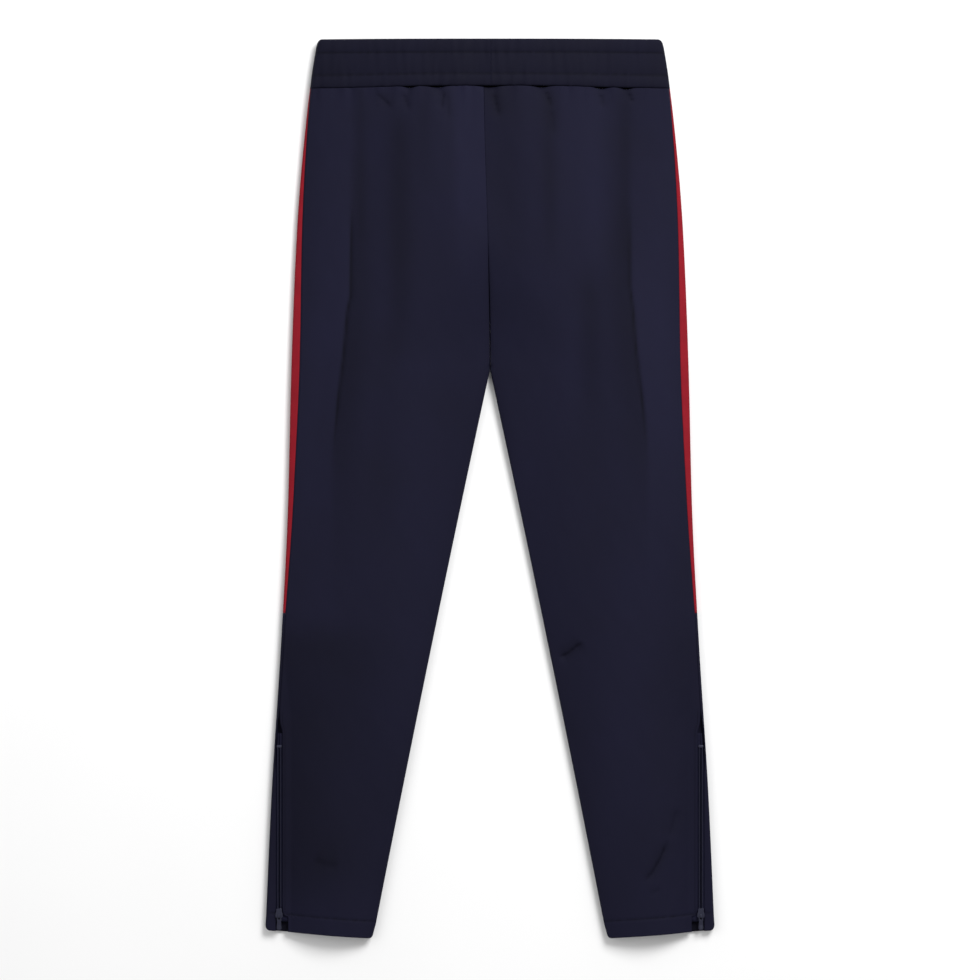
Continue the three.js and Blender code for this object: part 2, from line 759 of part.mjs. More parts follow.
// The pull tab hangs from the slider's arch, towards the hem, with its end a little lower.
function pullTab() {
  const half = PULL_THICKNESS / 2;
  const tip = -PULL_LENGTH;
  const outline = new THREE.Shape();
  outline.moveTo(-PULL_RING_HALF_WIDTH, half);
  outline.lineTo(-PULL_RING_HALF_WIDTH, -PULL_SHOULDER);
  outline.absarc(0, tip + PULL_END_HALF_WIDTH, PULL_END_HALF_WIDTH, Math.PI, 2 * Math.PI, false);
  outline.lineTo(PULL_RING_HALF_WIDTH, -PULL_SHOULDER);
  outline.lineTo(PULL_RING_HALF_WIDTH, half);
  outline.closePath();
  const eye = new THREE.Path();
  const eyeHalf = ARCH_HALF_WIDTH + FIT;
  eye.moveTo(-eyeHalf, -half);
  eye.lineTo(eyeHalf, -half);
  eye.lineTo(eyeHalf, -PULL_EYE_LENGTH);
  eye.lineTo(-eyeHalf, -PULL_EYE_LENGTH);
  eye.closePath();
  outline.holes.push(eye);
  const options = { depth: PULL_THICKNESS, bevelEnabled: false, curveSegments: 8 };
  const geometry = new THREE.ExtrudeGeometry(outline, options);
  geometry.translate(0, 0, -half);
  geometry.rotateX(PULL_DROOP);
  geometry.translate(ZIP_X, PIVOT_Y, PIVOT_Z);
  return outward(welded(geometry));
}

const finish = (color, roughness, metalness = 0) =>
  new THREE.MeshStandardMaterial({ color, roughness, metalness });

const NAVY = finish(0x1e1e2f, 0.85);
const NAVY_RIB = finish(0x1d1e2e, 0.9);
const RED = finish(0x8f2529, 0.8);
const WHITE_ELASTIC = finish(0xd8d8d4, 0.9);
const TAPE_NAVY = finish(0x17182a, 0.8);
const COIL_NAVY = finish(0x14152a, 0.45);
const GUNMETAL = finish(0x2a2b36, 0.4, 0.6);

const garment = new THREE.Group();
garment.position.y = -LENGTH / 2;

function addPiece(name, geometry, material) {
  const mesh = new THREE.Mesh(geometry, material);
  mesh.name = name;
  garment.add(mesh);
}

// A piece of the right side, and its mirror image on the left.
function addPair(name, geometry, material) {
  const mirrored = geometry.clone().scale(-1, 1, 1);
  addPiece(`right_${name}`, geometry, material);
  addPiece(`left_${name}`, flipped(mirrored), material);
}

addPiece("waistband_back", waistCasing(false), NAVY_RIB);
addPiece("waistband_front", waistCasing(true), NAVY_RIB);
addPiece("waist_elastic", waistElastic(), WHITE_ELASTIC);

addPair("thigh_back", thighBack(), NAVY);
addPair("thigh_front", thighFront(), NAVY);
addPair("side_stripe", stripe(), RED);
addPair("shin_back", shinBack(), NAVY);
addPair("shin_front", shinFront(), NAVY);
addPair("hem_back", hemTurnUp(false), NAVY);
addPair("hem_front", hemTurnUp(true), NAVY);

addPair("zip_tape_inner", innerTape(), TAPE_NAVY);
addPair("zip_tape_outer", outerTape(), TAPE_NAVY);
addPair("zip_coil_inner", coil(-1), COIL_NAVY);
addPair("zip_coil_outer", coil(1), COIL_NAVY);
addPair("zip_end_stop", chainStop(ZIP_X - COIL_OUTER, ZIP_X + COIL_OUTER, CHAIN_TOP + FIT), GUNMETAL);
addPair(
  "zip_hem_stop_inner",
  chainStop(ZIP_X - COIL_OUTER, ZIP_X - COIL_INNER, CHAIN_FOOT - FIT - STOP_LENGTH),
  GUNMETAL,
);
addPair(
  "zip_hem_stop_outer",
  chainStop(ZIP_X + COIL_INNER, ZIP_X + COIL_OUTER, CHAIN_FOOT - FIT - STOP_LENGTH),
  GUNMETAL,
);
addPair("zip_slider", slider(), GUNMETAL);
addPair("zip_pull", pullTab(), GUNMETAL);

export default garment;
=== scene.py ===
# Slim knit track trousers laid flat, back up: the looks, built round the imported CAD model.
# Metres, in the row's frame: +X is the wearer's right, +Y runs from the hems to the waist, +Z is up.
import functools
import math

import bmesh
import bpy
import numpy as np
from mathutils import Matrix, Vector


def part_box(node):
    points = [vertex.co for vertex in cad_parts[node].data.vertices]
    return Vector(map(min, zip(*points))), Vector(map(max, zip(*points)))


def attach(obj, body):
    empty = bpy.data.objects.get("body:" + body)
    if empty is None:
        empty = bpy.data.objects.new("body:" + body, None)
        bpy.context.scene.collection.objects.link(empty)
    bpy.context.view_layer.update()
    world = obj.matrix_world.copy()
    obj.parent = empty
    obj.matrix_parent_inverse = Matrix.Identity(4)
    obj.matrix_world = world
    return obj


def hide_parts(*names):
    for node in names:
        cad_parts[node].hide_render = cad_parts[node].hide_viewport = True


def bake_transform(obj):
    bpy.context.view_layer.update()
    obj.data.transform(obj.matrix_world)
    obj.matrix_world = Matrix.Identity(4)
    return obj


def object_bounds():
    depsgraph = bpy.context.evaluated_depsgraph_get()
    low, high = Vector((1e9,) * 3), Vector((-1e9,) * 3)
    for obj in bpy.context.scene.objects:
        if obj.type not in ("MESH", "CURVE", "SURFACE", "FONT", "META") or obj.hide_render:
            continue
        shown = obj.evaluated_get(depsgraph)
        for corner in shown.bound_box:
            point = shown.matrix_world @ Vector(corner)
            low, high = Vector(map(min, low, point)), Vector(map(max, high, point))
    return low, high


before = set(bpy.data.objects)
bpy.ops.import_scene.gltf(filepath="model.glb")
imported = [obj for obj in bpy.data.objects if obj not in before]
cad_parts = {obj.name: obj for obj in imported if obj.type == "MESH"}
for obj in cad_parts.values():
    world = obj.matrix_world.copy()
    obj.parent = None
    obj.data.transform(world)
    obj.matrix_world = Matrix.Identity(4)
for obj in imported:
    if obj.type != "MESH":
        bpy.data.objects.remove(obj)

cad_low, cad_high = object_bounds()
MM = 0.001
SIDES = {"left": -1, "right": 1}

# ---------------------------------------------------------------- sizes
# Heights are measured along Y from the lowest point of the hems.
FOOT_Y = cad_low.y
LENGTH = cad_high.y - cad_low.y
SEAM_GAP = 0.3 * MM
LAYER_GAP = 0.3 * MM
WAIST_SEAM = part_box("waistband_back")[0].y - FOOT_Y - SEAM_GAP / 2
INSEAM = 626 * MM
KNEE_HEIGHT = 323 * MM
STRIPE_END = 348 * MM
HEM_RISE = 9 * MM
HEM_DEPTH = 22 * MM
GUSSET_HEIGHT = 6 * MM

# Half widths of the silhouette.
WAIST_TOP_REACH = 190 * MM
WAIST_SEAM_REACH = 198.2 * MM
HIP_REACH = 212.5 * MM
CROTCH_REACH = 218.9 * MM
THIGH_REACH = 222.6 * MM
KNEE_REACH = 230.3 * MM
CALF_REACH = 240.5 * MM
HEM_REACH = 247.8 * MM
HEM_INNER = 128.7 * MM
INSEAM_BOW = 1.7 * MM

# Loft of the crown, and height and corner radius of the folded sides.
WAIST_TOP_LOFT = 24 * MM
WAIST_SEAM_LOFT = 27 * MM
HIP_LOFT = 31 * MM
THIGH_LOFT = 26 * MM
KNEE_LOFT = 21 * MM
HEM_LOFT = 19 * MM
WAIST_SIDE_HEIGHT = 14 * MM
SIDE_HEIGHT = 9 * MM
WAIST_SIDE_CORNER = 6.4 * MM
SIDE_CORNER = 2.6 * MM
SIDE_SETTLE = 80 * MM

# Cloth.
CAD_CLOTH = 1.8 * MM
CLOTH = 1.3 * MM
CASING_CLOTH = 1.2 * MM
CASING_GAP = 0.4 * MM
ELASTIC_THICKNESS = 1.4 * MM
ELASTIC_HEIGHT = 46 * MM
HEM_CLOTH = 1.2 * MM
HEM_ROLL = 0.9 * MM
HEM_OUTER_CORNER = 5 * MM
HEM_INNER_CORNER = 5 * MM

# The side stripe: its width, and how far it shows round the side. Beside the hip and on the thigh it
# shows further than on the CAD model, as far as in the photograph.
STRIPE_WIDTH = 20 * MM
STRIPE_AT_WAIST = 0.8 * MM
STRIPE_AT_HIP = 5.6 * MM
STRIPE_AT_CROTCH = 9 * MM
STRIPE_AT_THIGH = 6 * MM
STRIPE_AT_END = 2.8 * MM

# Ankle zip.
ZIP_TOP = 240 * MM
SLOT_HALF = 3.7 * MM
SLOT_STRIP = 0.25 * MM
TAPE_THICKNESS = 0.8 * MM
TAPE_WIDTH = 12 * MM
TAPE_TOP = 226 * MM
TAPE_FOOT = 18.5 * MM
CHAIN_TOP = 210 * MM
COIL_INNER = 0.45 * MM
COIL_OUTER = 2.45 * MM
COIL_HEIGHT = 1.6 * MM
COIL_PITCH = 1.3 * MM
COIL_WIRE = 0.3 * MM
STOP_LENGTH = 2.5 * MM
STOP_PROUD = 0.2 * MM
NOTCH_WIDTH = 10 * MM
NOTCH_HEIGHT = 22.5 * MM

# Slider and pull tab.
SLIDER_FOOT = 22.6 * MM
SLIDER_LENGTH = 10.5 * MM
SLIDER_HALF_WIDTH = 4 * MM
SLIDER_TAIL_HALF_WIDTH = 3.1 * MM
SLIDER_KEEL_HALF_WIDTH = 3.2 * MM
KEEL_CLEARANCE = 0.4 * MM
PLATE_THICKNESS = 1.1 * MM
POST_HALF_WIDTH = 0.4 * MM
POST_LENGTH = 3 * MM
FLANGE_INNER = 2.75 * MM
FLANGE_OUTER = 3.5 * MM
FIT = 0.3 * MM
PIVOT_FROM_FOOT = 2.2 * MM
PIVOT_ABOVE_PLATE = 1 * MM
ARCH_HALF_WIDTH = 0.8 * MM
ARCH_HOLE_HALF = 1.05 * MM
ARCH_HOLE_ABOVE_PIVOT = 0.7 * MM
ARCH_WALL = 0.85 * MM
PULL_LENGTH = 15.8 * MM
PULL_THICKNESS = 0.9 * MM
PULL_RING_HALF_WIDTH = 2.1 * MM
PULL_END_HALF_WIDTH = 2.75 * MM
PULL_EYE_LENGTH = 3.9 * MM
PULL_SHOULDER = 5 * MM
PULL_DROOP = math.radians(8)

# Sewing.
CHANNEL_ROWS = (951.2 * MM, 974.8 * MM)
HEM_STITCH = 23.5 * MM
PLACKET_STITCH = 2.8 * MM
STITCH_PITCH = 2.6 * MM
THREAD = 0.26 * MM
# A stitch in five steps: how far it stands above the cloth, and how thick it is, in threads.
STITCH_ARCH = (-0.7, 0.3, 0.5, 0.3, -0.7)
STITCH_TAPER = (0.55, 0.95, 1, 0.95, 0.55)


# ---------------------------------------------------------------- section lines
def through(*points):
    """A smooth line through points in rising order, with no overshoot: a monotone cubic."""
    at, value = np.array(points, float).T
    steps = np.diff(value) / np.diff(at)
    before, after = np.r_[steps[0], steps], np.r_[steps, steps[-1]]
    same = before * after > 0
    slopes = np.where(same, 2 * before * after / np.where(same, before + after, 1), 0)

    def line(where):
        x = np.clip(where, at[0], at[-1])
        i = np.clip(np.searchsorted(at, x) - 1, 0, len(at) - 2)
        w = at[i + 1] - at[i]
        t = (x - at[i]) / w
        s = 1 - t
        ends = value[i] * s * s * (1 + 2 * t) + value[i + 1] * t * t * (3 - 2 * t)
        return ends + slopes[i] * w * t * s * s - slopes[i + 1] * w * t * t * s

    return line


side_reach = through(
    (0, HEM_REACH),
    (KNEE_HEIGHT / 2, CALF_REACH),
    (KNEE_HEIGHT, KNEE_REACH),
    ((KNEE_HEIGHT + INSEAM) / 2, THIGH_REACH),
    (INSEAM, CROTCH_REACH),
    ((INSEAM + WAIST_SEAM) / 2, HIP_REACH),
    (WAIST_SEAM, WAIST_SEAM_REACH),
    (LENGTH, WAIST_TOP_REACH),
)
loft = through(
    (0, HEM_LOFT),
    (KNEE_HEIGHT, KNEE_LOFT),
    (INSEAM, THIGH_LOFT),
    ((INSEAM + WAIST_SEAM) / 2, HIP_LOFT),
    (WAIST_SEAM, WAIST_SEAM_LOFT),
    (LENGTH, WAIST_TOP_LOFT),
)
side_height = through((WAIST_SEAM - SIDE_SETTLE, SIDE_HEIGHT), (WAIST_SEAM, WAIST_SIDE_HEIGHT))
side_corner = through((WAIST_SEAM - SIDE_SETTLE, SIDE_CORNER), (WAIST_SEAM, WAIST_SIDE_CORNER))
stripe_shows = through(
    (STRIPE_END, STRIPE_AT_END),
    ((STRIPE_END + INSEAM) / 2, STRIPE_AT_THIGH),
    (INSEAM, STRIPE_AT_CROTCH),
    ((INSEAM + WAIST_SEAM) / 2, STRIPE_AT_HIP),
    (WAIST_SEAM, STRIPE_AT_WAIST),
)


def inner_reach(height):
    """The inner edge of a leg. Above the inseam it is the centre line."""
    t = np.minimum(height / INSEAM, 1)
    return SEAM_GAP / 2 + HEM_INNER * (1 - t) + INSEAM_BOW * 4 * t * (1 - t)


def leg_middle(height):
    return (side_reach(height) + inner_reach(height)) / 2


SHIN_LEAN = math.atan2(leg_middle(0.0) - leg_middle(KNEE_HEIGHT), KNEE_HEIGHT)
HEM_SLOPE = HEM_RISE / (HEM_REACH - HEM_INNER)
section_slope = through(
    (HEM_RISE / 2, HEM_SLOPE), (KNEE_HEIGHT, math.tan(SHIN_LEAN)), (INSEAM, 0)
)
ZIP_X = side_reach(np.linspace(TAPE_FOOT, CHAIN_TOP, 9)).min() - CAD_CLOTH - KEEL_CLEARANCE
ZIP_X -= SLIDER_KEEL_HALF_WIDTH
SHELF_X = ZIP_X - TAPE_WIDTH - 1 * MM
TAPE_Z = SIDE_HEIGHT - CAD_CLOTH - LAYER_GAP
COIL_Z = TAPE_Z + LAYER_GAP


def smoothstep(value, low, high):
    t = np.clip((value - low) / (high - low), 0, 1)
    return t * t * (3 - 2 * t)


class Section:
    """One cross-section of the right leg. Its line runs along s: 0 is the middle of the folded side,
    above 0 is over the back, and below 0 is along the front, on which the trousers lie."""

    ARC_STEPS = 10
    CROWN_STEPS = 90
    # Where the crown is highest, as a share of the way from the inner edge, and how far that moves in
    # towards the centre line at the hip.
    LEG_PEAK = 0.5
    PEAK_SHIFT = 0.35

    def __init__(self, height):
        self.height = height
        self.slope = float(section_slope(height))
        self.middle = float(leg_middle(height))
        self.side, self.inner = float(side_reach(height)), float(inner_reach(height))
        for _ in range(4):
            self.side = float(side_reach(self.row_height(self.side)))
            self.inner = float(inner_reach(self.row_height(self.inner)))
        self.tall = float(side_height(height))
        self.corner = float(side_corner(height))
        self.joined = height > INSEAM + GUSSET_HEIGHT / 2
        over, under = self.half(False), self.half(True)
        self.back_length, self.front_length = over[0][-1], under[0][-1]
        under = [line[:0:-1] for line in under]
        self.s, *self.lines = (np.r_[u, o] for u, o in zip(under, over))
        self.s[: len(under[0])] *= -1

    def row_height(self, x):
        return self.height + self.slope * (x - self.middle)

    def crown_at(self, x):
        shelf = through((ZIP_TOP, SHELF_X), (KNEE_HEIGHT, self.side - self.corner))
        edge = min(float(shelf(self.height)), self.side - self.corner)
        rise = float(smoothstep(self.height, INSEAM, (INSEAM + WAIST_SEAM) / 2))
        peak = self.LEG_PEAK - self.PEAK_SHIFT * rise
        u = np.clip((x - self.inner) / (edge - self.inner), 0, 1)
        fall = 1 - ((u - peak) / (1 - peak)) ** 2
        climb = 1 - (1 - rise) * ((peak - u) / peak) ** 2
        return np.where(u > peak, fall, climb)

    def half(self, under):
        crown = float(loft(self.height)) - self.tall
        surface = (lambda x: 0 * x) if under else (lambda x: self.tall + crown * self.crown_at(x))
        up = -1 if under else 1
        level = self.corner if under else self.tall - self.corner
        turn = np.linspace(0, math.pi / 2, self.ARC_STEPS + 1)
        xs = [[self.side], self.side - self.corner * (1 - np.cos(turn))]
        zs = [[self.tall / 2], level + up * self.corner * np.sin(turn)]
        end = self.inner if self.joined else self.inner + self.corner
        across = np.linspace(self.side - self.corner, end, self.CROWN_STEPS + 1)[1:]
        xs.append(across)
        zs.append(surface(across))
        if not self.joined:
            drop = self.corner if under else float(surface(np.array(end))) - self.corner
            xs += [end - self.corner * np.sin(turn[1:]), [self.inner]]
            zs += [drop + up * self.corner * np.cos(turn[1:]), [self.tall / 2]]
        x, z = np.concatenate(xs), np.concatenate(zs)
        s = np.r_[0, np.cumsum(np.hypot(np.diff(x), np.diff(z)))]
        dx, dz = (np.r_[a[1] - a[0], a[2:] - a[:-2], a[-1] - a[-2]] for a in (x, z))
        long = np.maximum(np.hypot(dx, dz), 1e-9)
        nx, nz = up * dz / long, -up * dx / long
        nx[0], nz[0] = 1, 0
        if self.joined:
            nx[-1], nz[-1] = 0, up
        return [s, x, z, nx, nz]

    def distance_at(self, x):
        """The distance along the back at which the line reaches an x near the folded side."""
        over = self.s >= 0
        return float(np.interp(-x, -self.lines[0][over], self.s[over]))


@functools.lru_cache(maxsize=None)
def section_at(height):
    return Section(height)


def seam_distance(section):
    shows = stripe_shows(section.height) if section.height > STRIPE_END else STRIPE_AT_END
    return section.distance_at(section.side - float(shows))


# ---------------------------------------------------------------- relief of the cloth
def bell(distance, width):
    return np.exp(-((distance / width) ** 2))


def waves(x, y, seed, count, across, along):
    """A gentle random swell: plane waves with lengths in the ranges across X and along Y."""
    draw = np.random.default_rng(seed)
    total = np.zeros(np.shape(x))
    for _ in range(count):
        kx = 2 * math.pi / draw.uniform(*across) * draw.choice([-1, 1])
        ky = 2 * math.pi / draw.uniform(*along)
        total += np.sin(kx * x + ky * y + draw.uniform(0, 2 * math.pi))
    return total / math.sqrt(count)


def stroke(x, y, points, width, ease=0.25):
    """How near each place is to a line of points, as 0 to 1 with faded ends, and on which side of it."""
    points = np.array(points, float)
    lengths = np.r_[0, np.cumsum(np.hypot(*np.diff(points, axis=0).T))]
    near, along, side = np.full(np.shape(x), 1e9), np.zeros(np.shape(x)), np.zeros(np.shape(x))
    for (ax, ay), (bx, by), start in zip(points[:-1], points[1:], lengths):
        dx, dy = bx - ax, by - ay
        long = math.hypot(dx, dy)
        t = np.clip(((x - ax) * dx + (y - ay) * dy) / long**2, 0, 1)
        away = np.hypot(x - ax - t * dx, y - ay - t * dy)
        nearer = away < near
        near = np.where(nearer, away, near)
        along = np.where(nearer, (start + t * long) / lengths[-1], along)
        side = np.where(nearer, np.sign((x - ax) * dy - (y - ay) * dx), side)
    fade = smoothstep(along, 0, ease) * (1 - smoothstep(along, 1 - ease, 1))
    return np.exp(-near / width) * fade, side


# Gathers under the waist seam, as X, half width, depth, and how far one end lies higher than the other.
GATHERS = (
    (-0.0868, 0.0085, 3.0 * MM, 0.00),
    (-0.0550, 0.0150, 3.6 * MM, 0.12),
    (0.0065, 0.0150, 3.6 * MM, 0.00),
    (0.0590, 0.0105, 3.6 * MM, -0.05),
    (0.1225, 0.0095, 3.2 * MM, 0.00),
    (0.1500, 0.0085, 3.0 * MM, -0.05),
)
GATHER_LENGTH = 6 * MM
GATHER_RECESS = 1.9 * MM
WAIST_DIP = 2.2 * MM
WAIST_DIP_SPAN = 16 * MM

# Short wrinkles that run down from the gathers: X and Y at the top and at the foot, width and depth.
WAIST_WRINKLES = (
    (-0.0455, 0.4410, -0.0500, 0.4150, 2.6 * MM, 1.7 * MM),
    (-0.0420, 0.4400, -0.0405, 0.4020, 3.4 * MM, 1.0 * MM),
    (0.0105, 0.4400, 0.0175, 0.4050, 5.0 * MM, 1.7 * MM),
    (0.0630, 0.4400, 0.0700, 0.4170, 2.6 * MM, 1.7 * MM),
    (0.0690, 0.4250, 0.0730, 0.3850, 5.0 * MM, 0.9 * MM),
    (0.1215, 0.4400, 0.1250, 0.4170, 2.6 * MM, 1.4 * MM),
    (0.1520, 0.4390, 0.1580, 0.4230, 2.2 * MM, 1.4 * MM),
    (-0.1265, 0.4390, -0.1050, 0.4170, 6.0 * MM, 1.5 * MM),
    (-0.0960, 0.4390, -0.0860, 0.4130, 4.0 * MM, 1.2 * MM),
)

# The pressed creases down the back of each leg.
CREASES = (
    (
        (-0.1520, 0.3300), (-0.1529, 0.2134), (-0.1568, 0.1947),
        (-0.1609, 0.1474), (-0.1672, 0.0957), (-0.1730, 0.0300),
    ),
    (
        (0.1535, 0.3200), (0.1540, 0.2222), (0.1573, 0.1969),
        (0.1606, 0.1529), (0.1694, 0.0792), (0.1735, 0.0250),
    ),
)

# Broad soft bands of painted shade and painted light: X, half width, tone, and the heights they span.
PAINTED_BANDS = (
    (-0.0990, 0.0150, -0.28, 0.62, 0.93),
    (-0.1420, 0.0060, -0.16, 0.72, 0.97),
    (-0.0700, 0.0100, -0.13, 0.80, 0.96),
    (0.0670, 0.0090, -0.22, 0.72, 0.97),
    (0.1490, 0.0100, -0.13, 0.70, 0.97),
    (0.1150, 0.0150, 0.12, 0.70, 0.96),
    (0.1100, 0.0130, -0.18, 0.55, 0.76),
    (0.0900, 0.0150, 0.10, 0.52, 0.72),
    (-0.1150, 0.0200, -0.10, 0.40, 0.70),
    (-0.1950, 0.0700, -0.30, 0.00, 0.36),
    (0.1950, 0.0700, -0.06, 0.00, 0.36),
)

# Wrinkles at the right knee and at the ankles: a line, its width and its depth.
LEG_WRINKLES = (
    (((0.0745, -0.1865), (0.0870, -0.1790), (0.1020, -0.1670)), 5.6 * MM, 2.2 * MM),
    (((0.1670, -0.4330), (0.1782, -0.4213), (0.1859, -0.4081), (0.1960, -0.3850)), 3.6 * MM, 2.0 * MM),
    (((0.1960, -0.3850), (0.2060, -0.3500)), 8.0 * MM, 0.7 * MM),
    (((0.1740, -0.4440), (0.1880, -0.4390)), 2.4 * MM, 0.8 * MM),
    (((-0.1960, -0.4060), (-0.1820, -0.4110), (-0.1640, -0.4125)), 9 * MM, 0.9 * MM),
)

# Random swells, as a seed, a count, and the ranges of their lengths across X and along Y.
SWELL = (11, 9, (0.06, 0.17), (0.25, 0.9))
SMALL_SWELL = (5, 12, (0.014, 0.04), (0.03, 0.12))
SEAM_RIPPLE = (23, 10, (0.009, 0.026), (0.3, 0.9))
CLOUDS = (41, 7, (0.07, 0.16), (0.6, 1.6))
UNEVEN_HEM = (53, 6, (0.008, 0.03), (0.1, 0.3))
CASING_RIPPLE = (31, 14, (0.006, 0.016), (0.05, 0.16))
CASING_PUCKER = (43, 16, (0.003, 0.006), (0.02, 0.06))
CASING_SWELL = (37, 6, (0.03, 0.08), (0.1, 0.4))
UNEVEN_ROWS = (47, 9, (0.004, 0.012), (0.1, 0.2))

# Depths and widths of the relief.
SWELL_DEPTH = 1.0 * MM
SMALL_SWELL_DEPTH = 0.10 * MM
CREASE_DEPTH = 1.3 * MM
CREASE_WIDTH = 1.7 * MM
RIPPLE_DEPTH = 0.6 * MM
RIPPLE_LENGTH = 12 * MM
WRINKLE_EASE = 0.35
HEM_DOUBLE = 0.35 * MM
HEM_GROOVE_DEPTH = 0.6 * MM
HEM_GROOVE_WIDTH = 1.3 * MM
HEM_PUCKER_PITCH = 5.5 * MM
RIB_PLACE = (-0.155, -0.396)
RIB_SPAN = (0.009, 0.007)
RIB_DEPTH = 0.4 * MM
RIB_PITCH = 4.2 * MM

# The centre-back seam: the left panel laps over the right one, which is sunk less from these heights up.
SEAM_LEAN = 7.4 * MM
SEAM_SUNK = 0.9
SEAM_SUNK_LESS = 0.75
SEAM_LESS_FROM, SEAM_LESS_TO = 0.70, 0.82
SEAM_SUNK_WIDTH = 2.2 * MM
SEAM_RAISED = 0.8 * MM
SEAM_LAP = 0.9 * MM
SEAM_LAP_FULL = 0.80
SEAM_LAP_WIDTH = 5 * MM

# Tones, as shares of the cloth's colour: the cloud tone is random, the rest are painted shade and painted
# light.
CLOUD_TONE = 0.05
CREASE_PAINTED_SHADE = 0.75
CREASE_PAINTED_SHADE_WIDTH = 1.2 * MM
OUTSIDE_CREASE_PAINTED_LIGHT = 0.26
INSIDE_CREASE_PAINTED_SHADE = 0.22
CREASE_TONE_SPAN = 0.17
WRINKLE_PAINTED_SHADE = 0.16
GATHER_PAINTED_SHADE = 0.30
HEM_PAINTED_SHADE = 0.26
SEAM_PAINTED_SHADE = 0.30
SEAM_PAINTED_SHADE_TO = 0.80
LEFT_LAP_PAINTED_LIGHT = 0.22
RIGHT_PANEL_PAINTED_SHADE = 0.14
PANEL_PAINT_TO = 0.86
BAND_FADE_IN, BAND_FADE_OUT = 0.09, 0.05
INNER_PAINTED_SHADE = 0.16
INNER_PAINTED_SHADE_WIDTH = 9 * MM

# How far from its side edge and from its inseam the back takes up its full relief.
SIDE_FADE = 16 * MM
INNER_FADE = 12 * MM


def gather_share(x, height):
    """How much each place is drawn into a gather, from 0 to 1, and how deep it lies for that."""
    below = np.clip(WAIST_SEAM - height, 0, None)
    share, depth = np.zeros(np.shape(x)), np.zeros(np.shape(x))
    for at, half, deep, slant in GATHERS:
        along = (x - at) / half
        one = np.exp(-(along**2) * 1.6 - below * (1 + slant * along) / GATHER_LENGTH)
        share = np.maximum(share, one)
        depth = np.maximum(depth, one * deep)
    return share, depth


def waist_dip(x, height):
    """The waist seam hangs a little lower towards the sides."""
    return -WAIST_DIP * smoothstep(np.abs(x), 0.04, 0.19) * bell(height - WAIST_SEAM, WAIST_DIP_SPAN)


def beside_crease(x, y, line):
    """How far outwards of a pressed crease each place is, and whether it is on the crease's own leg."""
    points = np.array(line)[::-1]
    return np.abs(x) - np.abs(np.interp(y, points[:, 1], points[:, 0])), np.sign(line[0][0]) * x > 0


def back_relief(x, y, height):
    """How far the back's cloth stands proud of its plain shape, at a place in the row's frame."""
    total = SWELL_DEPTH * waves(x, y, *SWELL) + SMALL_SWELL_DEPTH * waves(x, y, *SMALL_SWELL)
    for line in CREASES:
        total -= CREASE_DEPTH * stroke(x, y, line, CREASE_WIDTH)[0]
    for line, width, depth in LEG_WRINKLES:
        near, side = stroke(x, y, line, width)
        total -= depth * near * (1 + 0.5 * side)
    for ax, ay, bx, by, width, depth in WAIST_WRINKLES:
        near, side = stroke(x, y, ((ax, ay), (bx, by)), width, WRINKLE_EASE)
        total -= depth * near * (1 + 0.3 * side)
    below = np.clip(WAIST_SEAM - height, 0, None)
    ripple = waves(x, 0.3 * y, *SEAM_RIPPLE)
    total += RIPPLE_DEPTH * ripple * np.exp(-below / RIPPLE_LENGTH)
    total -= gather_share(x, height)[1]
    seam = smoothstep(height, INSEAM - 4 * MM, INSEAM + 30 * MM)
    sunk = SEAM_SUNK - SEAM_SUNK_LESS * smoothstep(height, SEAM_LESS_FROM, SEAM_LESS_TO)
    total -= sunk * MM * seam * np.exp(-np.abs(x) / SEAM_SUNK_WIDTH) * (x > 0)
    total += SEAM_RAISED * seam * (1 - smoothstep(-x, 6 * MM, 38 * MM)) * (x < 0)
    # The hem: a double layer below its row of stitches.
    total += HEM_DOUBLE * (1 - smoothstep(height, HEM_STITCH - 2 * MM, HEM_STITCH + 1.5 * MM))
    pucker = 1 + 0.35 * np.sin(2 * math.pi * x / HEM_PUCKER_PITCH)
    total -= HEM_GROOVE_DEPTH * bell(height - HEM_STITCH, HEM_GROOVE_WIDTH) * pucker
    # Fine ribs where the left shin's cloth has been held.
    held = bell(x - RIB_PLACE[0], RIB_SPAN[0]) * bell(y - RIB_PLACE[1], RIB_SPAN[1])
    total += RIB_DEPTH * held * np.sin(2 * math.pi * x / RIB_PITCH)
    return total


def inner_shade(to_inner):
    """How much painted shade darkens the cloth towards its inseam."""
    return INNER_PAINTED_SHADE * np.exp(-to_inner / INNER_PAINTED_SHADE_WIDTH)


